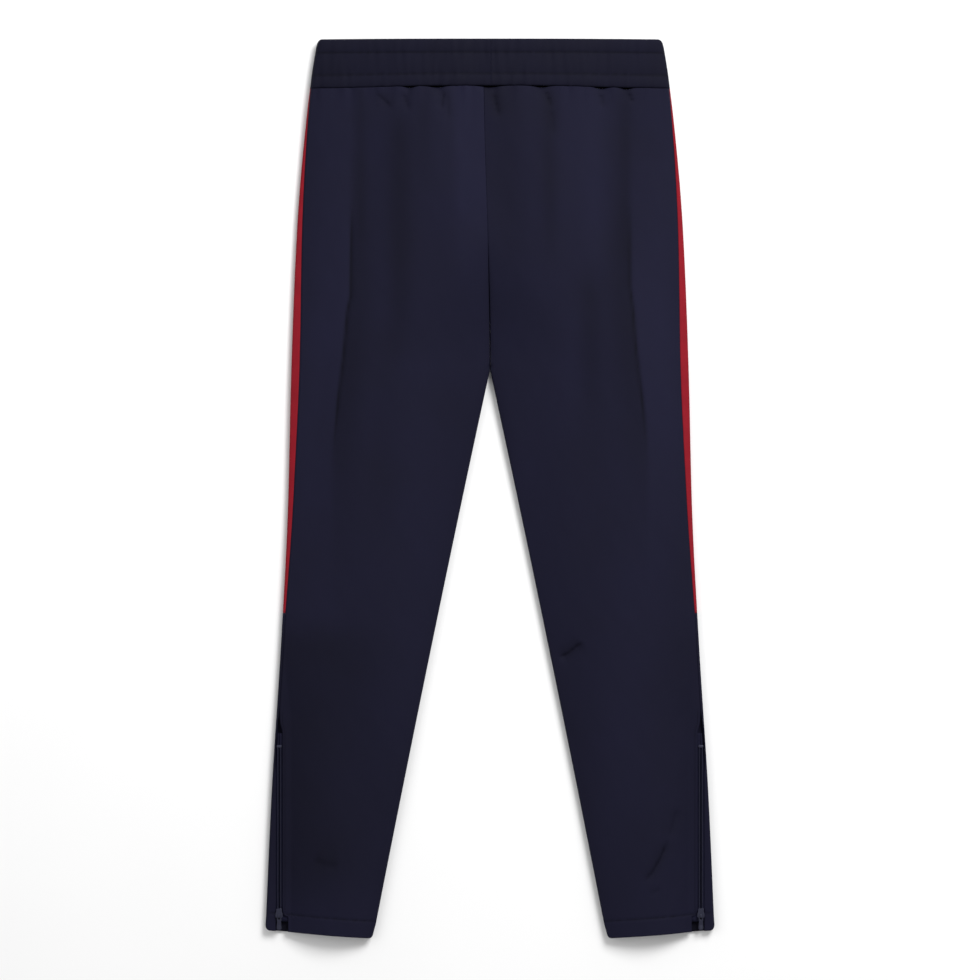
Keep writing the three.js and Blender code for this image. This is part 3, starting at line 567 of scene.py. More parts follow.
def back_tone_and_painted_light(x, y, height, to_inner):
    """How much lighter or darker the cloth is, as a share of its colour: a random tone, and painted shade
    and painted light at the creases, wrinkles, gathers, hem, seam, bands and inseam.
    """
    tone = CLOUD_TONE * waves(x, y, *CLOUDS)
    for line in CREASES:
        near = stroke(x, y, line, CREASE_PAINTED_SHADE_WIDTH)[0]
        out, here = beside_crease(x, y, line)
        middle = bell(y - (line[0][1] + line[-1][1]) / 2, CREASE_TONE_SPAN) * here
        outside = smoothstep(out, 0, 4 * MM) * (1 - smoothstep(out, 25 * MM, 60 * MM))
        inside = smoothstep(-out, 0, 3 * MM) * (1 - smoothstep(-out, 8 * MM, 40 * MM))
        # Painted shade along each crease, painted light outside it and painted shade inside it.
        tone -= CREASE_PAINTED_SHADE * near
        tone += OUTSIDE_CREASE_PAINTED_LIGHT * middle * outside
        tone -= INSIDE_CREASE_PAINTED_SHADE * middle * inside
    # Painted shade in the wrinkles, darker the deeper they are.
    for line, width, depth in LEG_WRINKLES:
        tone -= WRINKLE_PAINTED_SHADE * depth / MM * stroke(x, y, line, width)[0]
    for ax, ay, bx, by, width, depth in WAIST_WRINKLES:
        near = stroke(x, y, ((ax, ay), (bx, by)), width, WRINKLE_EASE)[0]
        tone -= WRINKLE_PAINTED_SHADE * depth / MM * near
    # Painted shade in the gathers under the waist seam.
    tone -= GATHER_PAINTED_SHADE * gather_share(x, height)[0]
    # Painted shade along the hem's groove of stitches, uneven along it.
    uneven = 1 + 0.5 * waves(x, y, *UNEVEN_HEM)
    tone -= HEM_PAINTED_SHADE * bell(height - HEM_STITCH, 1.1 * MM) * uneven
    # Painted shade along the centre-back seam.
    seam = smoothstep(height, INSEAM - 10 * MM, INSEAM + 10 * MM)
    seam = seam * (1 - smoothstep(height, SEAM_LESS_FROM, SEAM_PAINTED_SHADE_TO))
    tone -= SEAM_PAINTED_SHADE * seam * np.exp(-np.abs(x) / (1.6 * MM))
    # Painted light on the left panel where it laps over the seam, and painted shade on the right panel
    # beside it.
    above = smoothstep(height, SEAM_LESS_FROM, PANEL_PAINT_TO)
    left = smoothstep(-x, -1 * MM, 1 * MM) * (1 - smoothstep(-x, 26 * MM, 42 * MM))
    right = smoothstep(x, 0, 1 * MM) * (1 - smoothstep(x, 20 * MM, 50 * MM))
    tone += LEFT_LAP_PAINTED_LIGHT * above * left
    tone -= RIGHT_PANEL_PAINTED_SHADE * above * right
    # Broad bands of painted shade and painted light.
    for at, half, share, low, high in PAINTED_BANDS:
        fade = smoothstep(height, low, low + BAND_FADE_IN)
        fade = fade * (1 - smoothstep(height, high - BAND_FADE_OUT, high))
        tone += share * bell(x - at, half) * fade
    tone -= inner_shade(to_inner)
    return tone


def seam_shift(height):
    """The centre-back seam leans to the left on its way up from the crotch."""
    return -SEAM_LEAN * smoothstep(height, INSEAM + 10 * MM, WAIST_SEAM + 20 * MM)


def hem_lift(section, x):
    """How far the hem's edge is rounded up near the two sides of a leg."""
    lift = 0
    for distance, radius in ((section.side - x, HEM_OUTER_CORNER), (x - section.inner, HEM_INNER_CORNER)):
        inside = np.clip(radius - distance, 0, radius)
        lift = lift + radius - np.sqrt(radius**2 - inside**2)
    return lift * float(1 - smoothstep(section.height, HEM_RISE / 2, HEM_DEPTH))


def leg_grid(heights, distances, sign, depth=0.0):
    """Points, normals and cloth places of a leg's surface. distances gives, for a section, its
    distances s. A cloth place is the distance across, the distance along, and the tone."""
    rows = []
    for height in heights:
        section = section_at(float(height))
        s = np.asarray(distances(section), float)
        x, z, nx, nz = (np.interp(s, section.s, line) for line in section.lines)
        long = np.hypot(nx, nz)
        end = np.where(s > 0, section.back_length, section.front_length) - np.abs(s)
        to_inner = np.where(section.joined, 1.0, end)
        free = smoothstep(s / SIDE_FADE, 0, 1) * smoothstep(to_inner / INNER_FADE, 0, 1)
        local, lift = section.row_height(x), hem_lift(section, x)
        rows.append((x, z, nx / long, nz / long, local, free, to_inner, lift, s, height + 0 * s))
    x, z, nx, nz, local, free, to_inner, lift, s, height = (np.array(line) for line in zip(*rows))
    x = sign * x
    y = FOOT_Y + local
    over = s > 0
    out = free * back_relief(x, y, height) - depth
    share = gather_share(x, height)[0] * over
    # The back's tone holds painted shade and painted light; the front gets painted shade towards its inseam.
    tone = np.where(over, back_tone_and_painted_light(x, y, height, to_inner), -inner_shade(to_inner))
    lap = SEAM_LAP * smoothstep(height, SEAM_LESS_FROM, SEAM_LAP_FULL)
    lap = lap * np.exp(-np.abs(x) / SEAM_LAP_WIDTH) * (x < 0)
    shifted = x + (seam_shift(height) * bell(x, 60 * MM) + lap) * over
    dropped = y + lift + waist_dip(x, height) * (height > INSEAM) - GATHER_RECESS * share
    points = np.stack([shifted + sign * nx * out, dropped, z + nz * out], -1)
    return points, np.stack([sign * nx, 0 * nx, nz], -1), np.stack([sign * s, height, tone], -1)


# ---------------------------------------------------------------- meshes
def build_mesh(name, points, face_sets, cloth=None):
    """A mesh object from points and arrays of faces: unused points dropped, and faces turned outwards."""
    used, flat = np.unique(np.concatenate([faces.ravel() for faces in face_sets]), return_inverse=True)
    cuts = np.cumsum([faces.size for faces in face_sets])[:-1]
    face_sets = [part.reshape(faces.shape) for part, faces in zip(np.split(flat, cuts), face_sets)]
    points = points.reshape(-1, 3)[used]
    fans = [faces[:, [0, i, i + 1]] for faces in face_sets for i in range(1, faces.shape[1] - 1)]
    a, b, c = (points[corner] for corner in np.concatenate(fans).T)
    if np.einsum("ij,ij->i", a, np.cross(b, c)).sum() < 0:
        face_sets = [faces[:, ::-1] for faces in face_sets]
    mesh = bpy.data.meshes.new(name)
    mesh.from_pydata(points.tolist(), [], [face for faces in face_sets for face in faces.tolist()])
    if cloth is not None:
        attribute = mesh.attributes.new("cloth", "FLOAT_VECTOR", "POINT")
        attribute.data.foreach_set("vector", cloth.reshape(-1, 3)[used].astype(np.float32).ravel())
    smooth_shaded(mesh).update()
    return linked(bpy.data.objects.new(name, mesh))


def smooth_shaded(mesh):
    mesh.polygons.foreach_set("use_smooth", [True] * len(mesh.polygons))
    return mesh


def linked(made):
    bpy.context.scene.collection.objects.link(made)
    return made


def shell(name, outer, inner, cloth, keep=None, ring=False):
    """A closed sheet of cloth from two grids of points: both faces, and a rim round what is kept."""
    rows, columns = outer.shape[:2]
    grid = np.arange(rows * columns).reshape(rows, columns)
    if ring:
        grid = np.c_[grid, grid[:, 0]]
    corners = [grid[:-1, :-1], grid[:-1, 1:], grid[1:, 1:], grid[1:, :-1]]
    if keep is None:
        keep = np.ones(corners[0].shape, bool)
    quads = np.stack([corner[keep] for corner in corners], -1)
    total = rows * columns
    start, end = quads.ravel(), np.roll(quads, -1, axis=1).ravel()
    rim = ~np.isin(start * total + end, end * total + start)
    start, end = start[rim], end[rim]
    sides = np.stack([end, start, start + total, end + total], -1)
    faces = np.concatenate([quads, quads[:, ::-1] + total, sides])
    points = np.concatenate([outer.reshape(-1, 3), inner.reshape(-1, 3)])
    return build_mesh(name, points, [faces], np.concatenate([cloth.reshape(-1, 3)] * 2))


def tubes(paths, normals, radii, sides=6):
    """Points and face sets of round threads. paths and normals hold one line of points per thread."""
    count, steps = paths.shape[:2]
    ahead = np.gradient(paths, axis=1)
    ahead /= np.linalg.norm(ahead, axis=-1, keepdims=True)
    up = normals - ahead * (normals * ahead).sum(-1, keepdims=True)
    up /= np.linalg.norm(up, axis=-1, keepdims=True)
    out = np.cross(ahead, up)
    turn = np.arange(sides) * 2 * math.pi / sides
    ring = up[:, :, None] * np.cos(turn)[:, None] + out[:, :, None] * np.sin(turn)[:, None]
    points = paths[:, :, None] + ring * np.broadcast_to(radii, (count, steps))[..., None, None]
    index = np.arange(count * steps * sides).reshape(count, steps, sides)
    near, far = index[:, :-1], index[:, 1:]
    quads = np.stack([near, np.roll(near, -1, 2), np.roll(far, -1, 2), far], -1).reshape(-1, 4)
    caps = np.concatenate([index[:, 0, ::-1], index[:, -1]])
    return points, [quads, caps]


def stitch_row(path, normals, pitch=STITCH_PITCH, fill=0.74):
    """A row of lock stitches along a line of points on the cloth: their centre lines and normals."""
    run = np.r_[0, np.cumsum(np.linalg.norm(np.diff(path, axis=0), axis=1))]
    count = max(1, int(run[-1] / pitch))
    t = (np.arange(count)[:, None] + (1 - fill) / 2 + fill * np.linspace(0, 1, 5)) * run[-1] / count
    at = np.stack([np.interp(t, run, path[:, i]) for i in range(3)], -1)
    up = np.stack([np.interp(t, run, normals[:, i]) for i in range(3)], -1)
    arch = THREAD * np.array(STITCH_ARCH)
    return at + up * arch[:, None], up


def stitches(name, rows, body):
    """One piece for rows of stitches that ride on one body."""
    at, up = (np.concatenate(parts) for parts in zip(*rows))
    points, faces = tubes(at, up, THREAD * np.array(STITCH_TAPER))
    piece = build_mesh(name, points, faces)
    finish(piece, "thread")
    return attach(piece, body)


def cloth_area(points):
    """The area of a grid of points, which is the flat area that its cloth was cut to."""
    a, b, d = points[:-1, :-1], points[:-1, 1:], points[1:, :-1]
    return float(np.linalg.norm(np.cross(b - a, d - a), axis=-1).sum())


def spaced(start, end, step):
    return np.linspace(start, end, max(2, int(round((end - start) / step)) + 1))


def joined_heights(*runs):
    heights = np.concatenate(runs)
    heights.sort()
    return heights[np.r_[True, np.diff(heights) > 0.05 * MM]]


FIRST = HEM_RISE / 2
LEG_HEIGHTS = joined_heights(
    FIRST + HEM_ROLL * np.array([0, 0.12, 0.4, 1]),
    spaced(FIRST + 2 * MM, 30 * MM, 1.5 * MM),
    spaced(30 * MM, KNEE_HEIGHT - 20 * MM, 3 * MM),
    spaced(KNEE_HEIGHT - 20 * MM, KNEE_HEIGHT + 20 * MM, 1.6 * MM),
    spaced(KNEE_HEIGHT + 20 * MM, STRIPE_END - SEAM_GAP, 3 * MM),
    spaced(STRIPE_END, WAIST_SEAM - 60 * MM, 3.2 * MM),
    spaced(WAIST_SEAM - 60 * MM, WAIST_SEAM - 20 * MM, 2 * MM),
    spaced(WAIST_SEAM - 20 * MM, WAIST_SEAM - SEAM_GAP / 2, 1 * MM),
)

SLOT_SHARE = through((CHAIN_TOP + 11 * MM, 1), (TAPE_TOP + 3 * MM, 0.4), (ZIP_TOP + 4 * MM, 0))

# Where the folded side comes near the zip, the front's edge gives way by up to this much for the slider.
SLIDER_ROOM = 0.95 * MM
SLIDER_ROOM_REACH = 7.2 * MM
PANEL_COLUMNS = 92
FRONT_COLUMNS = 60
STRIPE_COLUMNS = 26
TURN_COLUMNS = 9


def slot_share(height):
    """How far the zip's slot is open: full past the chain, and drawn together above it."""
    return float(SLOT_SHARE(height))


def corner_turn(section):
    """Distances from the middle of the folded side to the start and the end of its corner."""
    flat = section.tall / 2 - section.corner
    return flat, flat + math.pi / 2 * section.corner


def back_edge(section):
    closed = seam_distance(section) + SEAM_GAP / 2
    opened = section.distance_at(ZIP_X - SLOT_HALF)
    edge = closed + (opened - closed) * slot_share(section.height)
    notch = section.distance_at(ZIP_X - NOTCH_WIDTH)
    cut = 1 - smoothstep(section.height, NOTCH_HEIGHT - 1.5 * MM, NOTCH_HEIGHT + 0.8 * MM)
    return edge + (notch - edge) * float(cut)


def back_distances(section):
    end = section.back_length - SEAM_GAP / 2
    turn = section.back_length - corner_turn(section)[1]
    across = np.linspace(back_edge(section), turn, PANEL_COLUMNS)
    return np.r_[across, np.linspace(turn, end, TURN_COLUMNS)[1:]]


def front_edge(section):
    closed = seam_distance(section) - SEAM_GAP / 2
    room = np.clip(ZIP_X + SLIDER_ROOM_REACH - section.side, 0, SLIDER_ROOM)
    opened = section.distance_at(min(ZIP_X + SLOT_HALF + room, section.side - SLOT_STRIP))
    return closed + (opened - closed) * slot_share(section.height)


def front_distances(section):
    """Along the front from the inseam to the stripe's far edge, then up round the side."""
    foot = -(section.front_length - SEAM_GAP / 2)
    turn = -(section.front_length - corner_turn(section)[1])
    far = seam_distance(section) - SEAM_GAP / 2 - STRIPE_WIDTH - SEAM_GAP
    edge = front_edge(section)
    return np.r_[
        np.linspace(foot, turn, TURN_COLUMNS)[:-1],
        np.linspace(turn, far, FRONT_COLUMNS - TURN_COLUMNS + 1),
        np.linspace(far, edge, STRIPE_COLUMNS)[1:],
    ]


def hem_roll(heights):
    """The cloth rolls under along the hem's edge."""
    t = 1 - np.clip((heights - FIRST) / HEM_ROLL, 0, 1)
    return (0.6 * HEM_ROLL * (1 - np.sqrt(1 - t**2)))[:, None]


def leg_panel(name, sign, distances, front):
    """A whole leg panel, with its flat size and flat area."""
    points, normals, cloth = leg_grid(LEG_HEIGHTS, distances, sign)
    outer = points - normals * hem_roll(LEG_HEIGHTS)[..., None]
    inner = points - normals * CLOTH
    keep = np.ones((points.shape[0] - 1, points.shape[1] - 1), bool)
    if front:
        striped = LEG_HEIGHTS[:-1] > STRIPE_END - 2 * SEAM_GAP
        keep[striped, FRONT_COLUMNS - 1 :] = False
    flat = (float(np.ptp(cloth[..., 0], axis=1).max()), WAIST_SEAM)
    return shell(name, outer, inner, cloth, keep), flat, cloth_area(points)


# ---------------------------------------------------------------- materials
def material(name, color, roughness, **inputs):
    made = bpy.data.materials.new(name)
    made.use_nodes = True
    shader = made.node_tree.nodes["Principled BSDF"]
    shader.inputs["Base Color"].default_value = (*color, 1)
    shader.inputs["Roughness"].default_value = roughness
    for key, value in inputs.items():
        shader.inputs[key.replace("_", " ")].default_value = value
    return made


class Nodes:
    """Short calls for the nodes of one material."""

    def __init__(self, made):
        self.tree = made.node_tree
        self.shader = self.tree.nodes["Principled BSDF"]

    def add(self, kind, **settings):
        node = self.tree.nodes.new(kind)
        for key, value in settings.items():
            setattr(node, key, value)
        return node

    def feed(self, source, target):
        if isinstance(source, (int, float)):
            target.default_value = source
        else:
            self.tree.links.new(source, target)

    def math(self, operation, *values):
        node = self.add("ShaderNodeMath", operation=operation)
        for value, target in zip(values, node.inputs):
            self.feed(value, target)
        return node.outputs[0]

    def cloth(self):
        """The place on the cloth, in metres across and along it, and the cloth's tone there, which holds
        painted shade and painted light.
        """
        split = self.add("ShaderNodeSeparateXYZ")
        self.feed(self.add("ShaderNodeAttribute", attribute_name="cloth").outputs["Vector"], split.inputs[0])
        place = self.add("ShaderNodeCombineXYZ")
        self.feed(split.outputs[0], place.inputs[0])
        self.feed(split.outputs[1], place.inputs[1])
        return place.outputs[0], *split.outputs

    def ribs(self, along, pitch):
        """A sine of the given pitch in metres, from 0 to 1."""
        turn = self.math("MULTIPLY", along, 2 * math.pi / pitch)
        return self.math("MULTIPLY_ADD", self.math("SINE", turn), 0.5, 0.5)

    def noise(self, place, scale, detail=3.0):
        node = self.add("ShaderNodeTexNoise")
        node.inputs["Scale"].default_value = scale
        node.inputs["Detail"].default_value = detail
        self.feed(place, node.inputs["Vector"])
        return node.outputs["Fac"]

    def color(self, share, *stops):
        ramp = self.add("ShaderNodeValToRGB").color_ramp
        node = self.tree.nodes[-1]
        while len(ramp.elements) < len(stops):
            ramp.elements.new(0.5)
        for element, (at, tint) in zip(ramp.elements, stops):
            element.position = at
            element.color = (*tint, 1)
        self.feed(share, node.inputs[0])
        self.feed(node.outputs[0], self.shader.inputs["Base Color"])

    def roughness(self, share, low, high):
        span = self.math("MULTIPLY_ADD", share, high - low, low)
        self.feed(span, self.shader.inputs["Roughness"])

    def bump(self, height, depth, strength=1.0):
        node = self.add("ShaderNodeBump")
        node.inputs["Strength"].default_value = strength
        node.inputs["Distance"].default_value = depth
        self.feed(height, node.inputs["Height"])
        self.feed(node.outputs[0], self.shader.inputs["Normal"])


def scaled(color, factor):
    return tuple(c * factor for c in color)


def knit(name, color, sheen, wale=0.95 * MM, course=0.8 * MM, depth=0.09 * MM):
    """Smooth warp knit: fine wales along the leg, faint courses, and a soft sheen."""
    cloth = {"Sheen_Weight": sheen, "Sheen_Roughness": 0.38, "Sheen_Tint": (0.42, 0.45, 0.72, 1)}
    made = material(name, color, 0.7, **cloth, Specular_IOR_Level=0.08)
    nodes = Nodes(made)
    place, across, along, tone = nodes.cloth()
    wales = nodes.ribs(across, wale)
    courses = nodes.ribs(along, course)
    loops = nodes.math("MULTIPLY_ADD", courses, 0.35, wales)
    fibre = nodes.noise(place, 2600, 2)
    patches = nodes.noise(place, 14, 4)
    # The colour ramp is at the plain colour in its middle, and at half and one and a half at its ends.
    height = nodes.math("MULTIPLY_ADD", fibre, 0.5, loops)
    shade = nodes.math("MULTIPLY_ADD", patches, 0.3, nodes.math("MULTIPLY_ADD", loops, 0.1, 0.28))
    # The tone adds the cloth's random tone and its painted shade and painted light to the colour.
    shade = nodes.math("ADD", shade, tone)
    nodes.color(shade, (0.0, scaled(color, 0.5)), (0.5, color), (1.0, scaled(color, 1.5)))
    nodes.roughness(patches, 0.62, 0.8)
    nodes.bump(height, depth)
    return made


def woven(name, color, pitch, depth, roughness=0.8, slant=1.0):
    """A plain tape: slanting threads, crossed by a fine rib."""
    made = material(name, color, roughness, Specular_IOR_Level=0.08)
    nodes = Nodes(made)
    place, across, along, _ = nodes.cloth()
    twill = nodes.ribs(nodes.math("MULTIPLY_ADD", across, slant, along), pitch)
    cross = nodes.ribs(across, pitch * 0.8)
    threads = nodes.math("MULTIPLY_ADD", cross, 0.5, twill)
    patches = nodes.noise(place, 60, 3)
    shade = nodes.math("MULTIPLY_ADD", threads, 0.25, nodes.math("MULTIPLY", patches, 0.6))
    nodes.color(shade, (0.2, scaled(color, 0.8)), (0.5, color), (0.8, scaled(color, 1.18)))
    nodes.roughness(patches, roughness - 0.1, roughness + 0.08)
    nodes.bump(threads, depth)
    return made


def nylon(name, color, roughness, specular):
    made = material(name, color, roughness, Specular_IOR_Level=specular)
    nodes = Nodes(made)
    place = nodes.add("ShaderNodeTexCoord").outputs["Object"]
    grain = nodes.noise(place, 1800, 2)
    nodes.color(grain, (0.25, scaled(color, 0.75)), (0.75, scaled(color, 1.35)))
    nodes.roughness(grain, roughness - 0.08, roughness + 0.1)
    nodes.bump(grain, 0.03 * MM)
    return made


def enamel(name, color, worn):
    """Dark enamel on cast zinc, worn bright along its edges."""
    coat = {"Coat_Weight": 0.1, "Coat_Roughness": 0.2}
    made = material(name, color, 0.35, Metallic=0.5, Specular_IOR_Level=0.3, **coat)
    nodes = Nodes(made)
    place = nodes.add("ShaderNodeTexCoord").outputs["Object"]
    grain = nodes.noise(place, 900, 4)
    edges = nodes.add("ShaderNodeNewGeometry").outputs["Pointiness"]
    wear = nodes.math("MULTIPLY_ADD", grain, 0.05, edges)
    nodes.color(wear, (0.5, color), (0.56, scaled(color, 1.5)), (0.62, worn))
    nodes.roughness(grain, 0.25, 0.48)
    nodes.bump(grain, 0.02 * MM)
    return made


NAVY = (0.0071, 0.0069, 0.0190)
MATERIALS = {
    "navy_knit": knit("navy_knit", NAVY, 0.05),
    # A darker, sheenless copy of the navy knit for the inside of the hems: painted shade for the inside seen
    # through the ankle notch, and partly the duller wrong side of the cloth.
    "navy_inside_painted_shade": knit("navy_knit_inside_painted_shade", scaled(NAVY, 0.45), 0.0),
    "waist_knit": knit("waist_knit", NAVY, 0.05),
    "thread": nylon("navy_thread", scaled(NAVY, 0.3), 0.7, 0.08),
    "red_tape": woven("red_tape", (0.215, 0.0085, 0.0160), 0.9 * MM, 0.08 * MM),
    "elastic": woven("ribbed_elastic", (0.62, 0.62, 0.59), 1.6 * MM, 0.2 * MM, 0.85, 0.0),
    "zip_tape": woven("zip_tape", (0.0085, 0.0085, 0.0225), 0.7 * MM, 0.08 * MM),
    "zip_coil": nylon("zip_coil", (0.0120, 0.0128, 0.0310), 0.5, 0.25),
    "zip_metal": enamel("dark_enamel", (0.020, 0.021, 0.038), (0.16, 0.17, 0.20)),
}


def finish(piece, look):
    piece.data.materials.clear()
    piece.data.materials.append(MATERIALS[look])
    return piece


def fit(piece, look, node, body, slot=None, **sheet):
    """Finishes a piece that stands for one CAD node and rides on one body. sheet is not used."""
    finish(piece, look)
    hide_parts(node)
    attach(piece, body)


def across_knee(piece):
    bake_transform(piece)


def make_legs():
    for side, sign in SIDES.items():
        for layer, distances in (("front", front_distances), ("back", back_distances)):
            name = f"{side}_leg_{layer}"
            piece, flat, area = leg_panel(name, sign, distances, layer == "front")
            finish(piece, "navy_knit")
            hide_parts(f"{side}_thigh_{layer}", f"{side}_shin_{layer}")
            across_knee(piece)


def front_turn(section):
    """Along the inside of the hem, over the front layer."""
    turn = corner_turn(section)[1] + 1 * MM
    return -np.linspace(turn, section.front_length - turn, 40)


def back_turn(section):
    """Along the inside of the hem, over the back layer, short of the zip's tape."""
    turn = corner_turn(section)[1] + 1 * MM
    return np.linspace(section.distance_at(SHELF_X - 0.5 * MM), section.back_length - turn, 40)


def make_stripes_and_hems():
    for side, sign in SIDES.items():
        heights = LEG_HEIGHTS[LEG_HEIGHTS > STRIPE_END - SEAM_GAP / 2]

        def across(section):
            seam = seam_distance(section) - SEAM_GAP / 2
            return np.linspace(seam - STRIPE_WIDTH, seam, 19)

        points, normals, cloth = leg_grid(heights, across, sign)
        piece = shell(f"{side}_stripe", points, points - normals * CLOTH, cloth)
        flat = (STRIPE_WIDTH, float(heights[-1] - heights[0]))
        sheet = {"flat": flat, "held": "laid", "rests_on": [f"{side}_leg_front"]}
        fit(piece, "red_tape", f"{side}_side_stripe", "seat", **sheet)
        for layer, distances in (("back", back_turn), ("front", front_turn)):
            heights = np.linspace(FIRST + 0.4 * MM, FIRST + HEM_DEPTH, 14)
            points, normals, cloth = leg_grid(heights, distances, sign, CLOTH + LAYER_GAP)
            piece = shell(f"{side}_hem_turn_{layer}", points, points - normals * HEM_CLOTH, cloth)
            flat = (float(np.ptp(cloth[..., 0])), HEM_DEPTH)
            sheet = {"flat": flat, "held": "folded", "rests_on": [f"{side}_leg_{layer}"]}
            fit(piece, "navy_inside_painted_shade", f"{side}_hem_{layer}", f"{side}_shin", "navy_knit", **sheet)


def make_leg_stitching():
    """Hem stitches on both layers, and the stitches beside the zip."""
    for side, sign in SIDES.items():
        rows = []
        hem = [HEM_STITCH]
        for distances in (
            lambda section: np.linspace(back_edge(section) + 1 * MM, section.back_length - 4 * MM, 60),
            lambda section: -np.linspace(section.front_length - 4 * MM, corner_turn(section)[1], 60),
        ):
            points, normals, _ = leg_grid(hem, distances, sign)
            rows.append(stitch_row(points[0], normals[0]))
        beside = np.linspace(NOTCH_HEIGHT + 3 * MM, ZIP_TOP + 2 * MM, 90)
        points, normals, _ = leg_grid(beside, lambda section: [back_edge(section) + PLACKET_STITCH], sign)
        rows.append(stitch_row(points[:, 0], normals[:, 0]))
        stitches(f"{side}_leg_stitching", rows, f"{side}_shin")


# ---------------------------------------------------------------- waistband
FOLD_RADIUS = (2 * CASING_CLOTH + 2 * CASING_GAP + ELASTIC_THICKNESS) / 2
FOLD_CENTRE = LENGTH - FOLD_RADIUS
WAIST_FOOT = WAIST_SEAM + SEAM_GAP / 2
WAIST_CORNER = 3.5 * MM
WAIST_COLUMNS = 190
WAIST_SIDE_FADE = 14 * MM
CHANNEL_FULLNESS = 0.55
CHANNEL_DEPTH = 1.3 * MM
CASING_SWELL_DEPTH = 0.35 * MM
CASING_PUCKER_DEPTH = 0.14 * MM
ROW_PAINTED_SHADE_WIDTH = 0.9 * MM
WAIST_TONE = -0.34
ROW_PAINTED_SHADE = 0.40
FOOT_PAINTED_SHADE = 0.12
FOOT_PAINTED_SHADE_WIDTH = 1.5 * MM


def waist_relief(x, height, under):
    """Padded channels between the rows of stitches, gathered by the elastic."""
    edges = (WAIST_FOOT, *CHANNEL_ROWS, LENGTH)
    pad = np.zeros(np.shape(x))
    for low, high in zip(edges[:-1], edges[1:]):
        t = np.clip((height - low) / (high - low), 0, 1)
        pad = np.maximum(pad, np.sin(math.pi * t) ** CHANNEL_FULLNESS)
    ripple = waves(x, height, *CASING_RIPPLE)
    pucker = waves(x, height, *CASING_PUCKER)
    slow = waves(x, height, *CASING_SWELL)
    near_row = sum(bell(height - row, 3 * MM) for row in CHANNEL_ROWS)
    total = CHANNEL_DEPTH * (pad - 1) + (0.42 - 0.2 * pad) * MM * ripple + CASING_SWELL_DEPTH * slow
    total += CASING_PUCKER_DEPTH * near_row * pucker
    return np.minimum(total, 0) if under else total


def waist_columns():
    """For each column, its share of the way from the centre line to the inner edge, and its side."""
    half = np.linspace(0, 1, WAIST_COLUMNS // 2)
    share = np.r_[half, half[-2::-1]]
    return share, np.where(np.arange(len(share)) < len(half), -1.0, 1.0)


def waist_row(height, depth, under):
    """Points and normals round one layer of the waist, from the left side to the right."""
    section = section_at(round(float(height), 7))
    share, sign = waist_columns()
    length = section.front_length if under else section.back_length
    distance = SEAM_GAP / 2 + share * (length - SEAM_GAP / 2)
    s = -distance if under else distance
    x, z, nx, nz = (np.interp(s, section.s, line) for line in section.lines)
    long = np.hypot(nx, nz)
    nx, nz = sign * nx / long, nz / long
    x = np.where(share == 1, 0, sign * x)
    fade = smoothstep(distance, 0, WAIST_SIDE_FADE) * (1 - smoothstep(depth, 0, 2 * FOLD_RADIUS))
    out = fade * waist_relief(x, height, under) - depth
    inside = np.clip(WAIST_CORNER - (section.side - np.abs(x)), 0, WAIST_CORNER)
    drop = WAIST_CORNER - np.sqrt(WAIST_CORNER**2 - inside**2)
    drop = drop * smoothstep(height, LENGTH - 10 * MM, LENGTH)
    # Painted shade along the rows of stitches and at the casing's foot, on a darker tone for the whole
    # casing.
    rows = sum(bell(height - row, ROW_PAINTED_SHADE_WIDTH) for row in CHANNEL_ROWS)
    tone = WAIST_TONE - ROW_PAINTED_SHADE * rows * (1 + 0.5 * waves(x, height, *UNEVEN_ROWS))
    tone = tone - FOOT_PAINTED_SHADE * np.exp(-(height - WAIST_FOOT) / FOOT_PAINTED_SHADE_WIDTH)
    points = np.stack([x + nx * out, FOOT_Y + height - drop + waist_dip(x, height), z + nz * out], -1)
    return points, np.stack([nx, 0 * nx, nz], -1), np.stack([sign * distance, height + 0 * x, tone], -1)


def waist_profile():
    """Heights and depths of the casing's outer and inner face: up the wall, over the fold and down."""
    rise = np.linspace(WAIST_FOOT, FOLD_CENTRE, 40)
    turn = np.linspace(0, math.pi, 11)[1:-1]
    down = np.linspace(FOLD_CENTRE, WAIST_FOOT, 12)
    faces = []
    for radius in (FOLD_RADIUS, FOLD_RADIUS - CASING_CLOTH):
        near, far = FOLD_RADIUS - radius, FOLD_RADIUS + radius
        heights = np.r_[rise, FOLD_CENTRE + radius * np.sin(turn), down]
        depths = np.r_[rise * 0 + near, FOLD_RADIUS - radius * np.cos(turn), down * 0 + far]
        faces.append(list(zip(heights, depths)))
    return faces


def make_waistband():
    for layer, under in (("back", False), ("front", True)):
        outer, inner = (
            [waist_row(height, depth, under) for height, depth in face] for face in waist_profile()
        )
        grids = [np.array([row[i] for row in face]) for face, i in ((outer, 0), (inner, 0), (outer, 2))]
        piece = shell(f"waist_casing_{layer}", *grids)
        flat = (2 * WAIST_TOP_REACH, 2 * (LENGTH - WAIST_SEAM))
        rests_on = ["waist_elastic_band"] if layer == "back" else []
        sheet = {"flat": flat, "held": "gathered", "rests_on": rests_on}
        fit(piece, "waist_knit", f"waistband_{layer}", "seat", **sheet)
        rows = []
        for height in CHANNEL_ROWS:
            points, normals, _ = waist_row(height, 0, under)
            rows.append(stitch_row(points[2:-2], normals[2:-2]))
        stitches(f"waist_stitching_{layer}", rows, "seat")


ELASTIC_ROWS = 93
RIB_HEIGHT = 0.16 * MM
ELASTIC_RIB_PITCH = 2.3 * MM
ELASTIC_COLUMN = 4 * MM


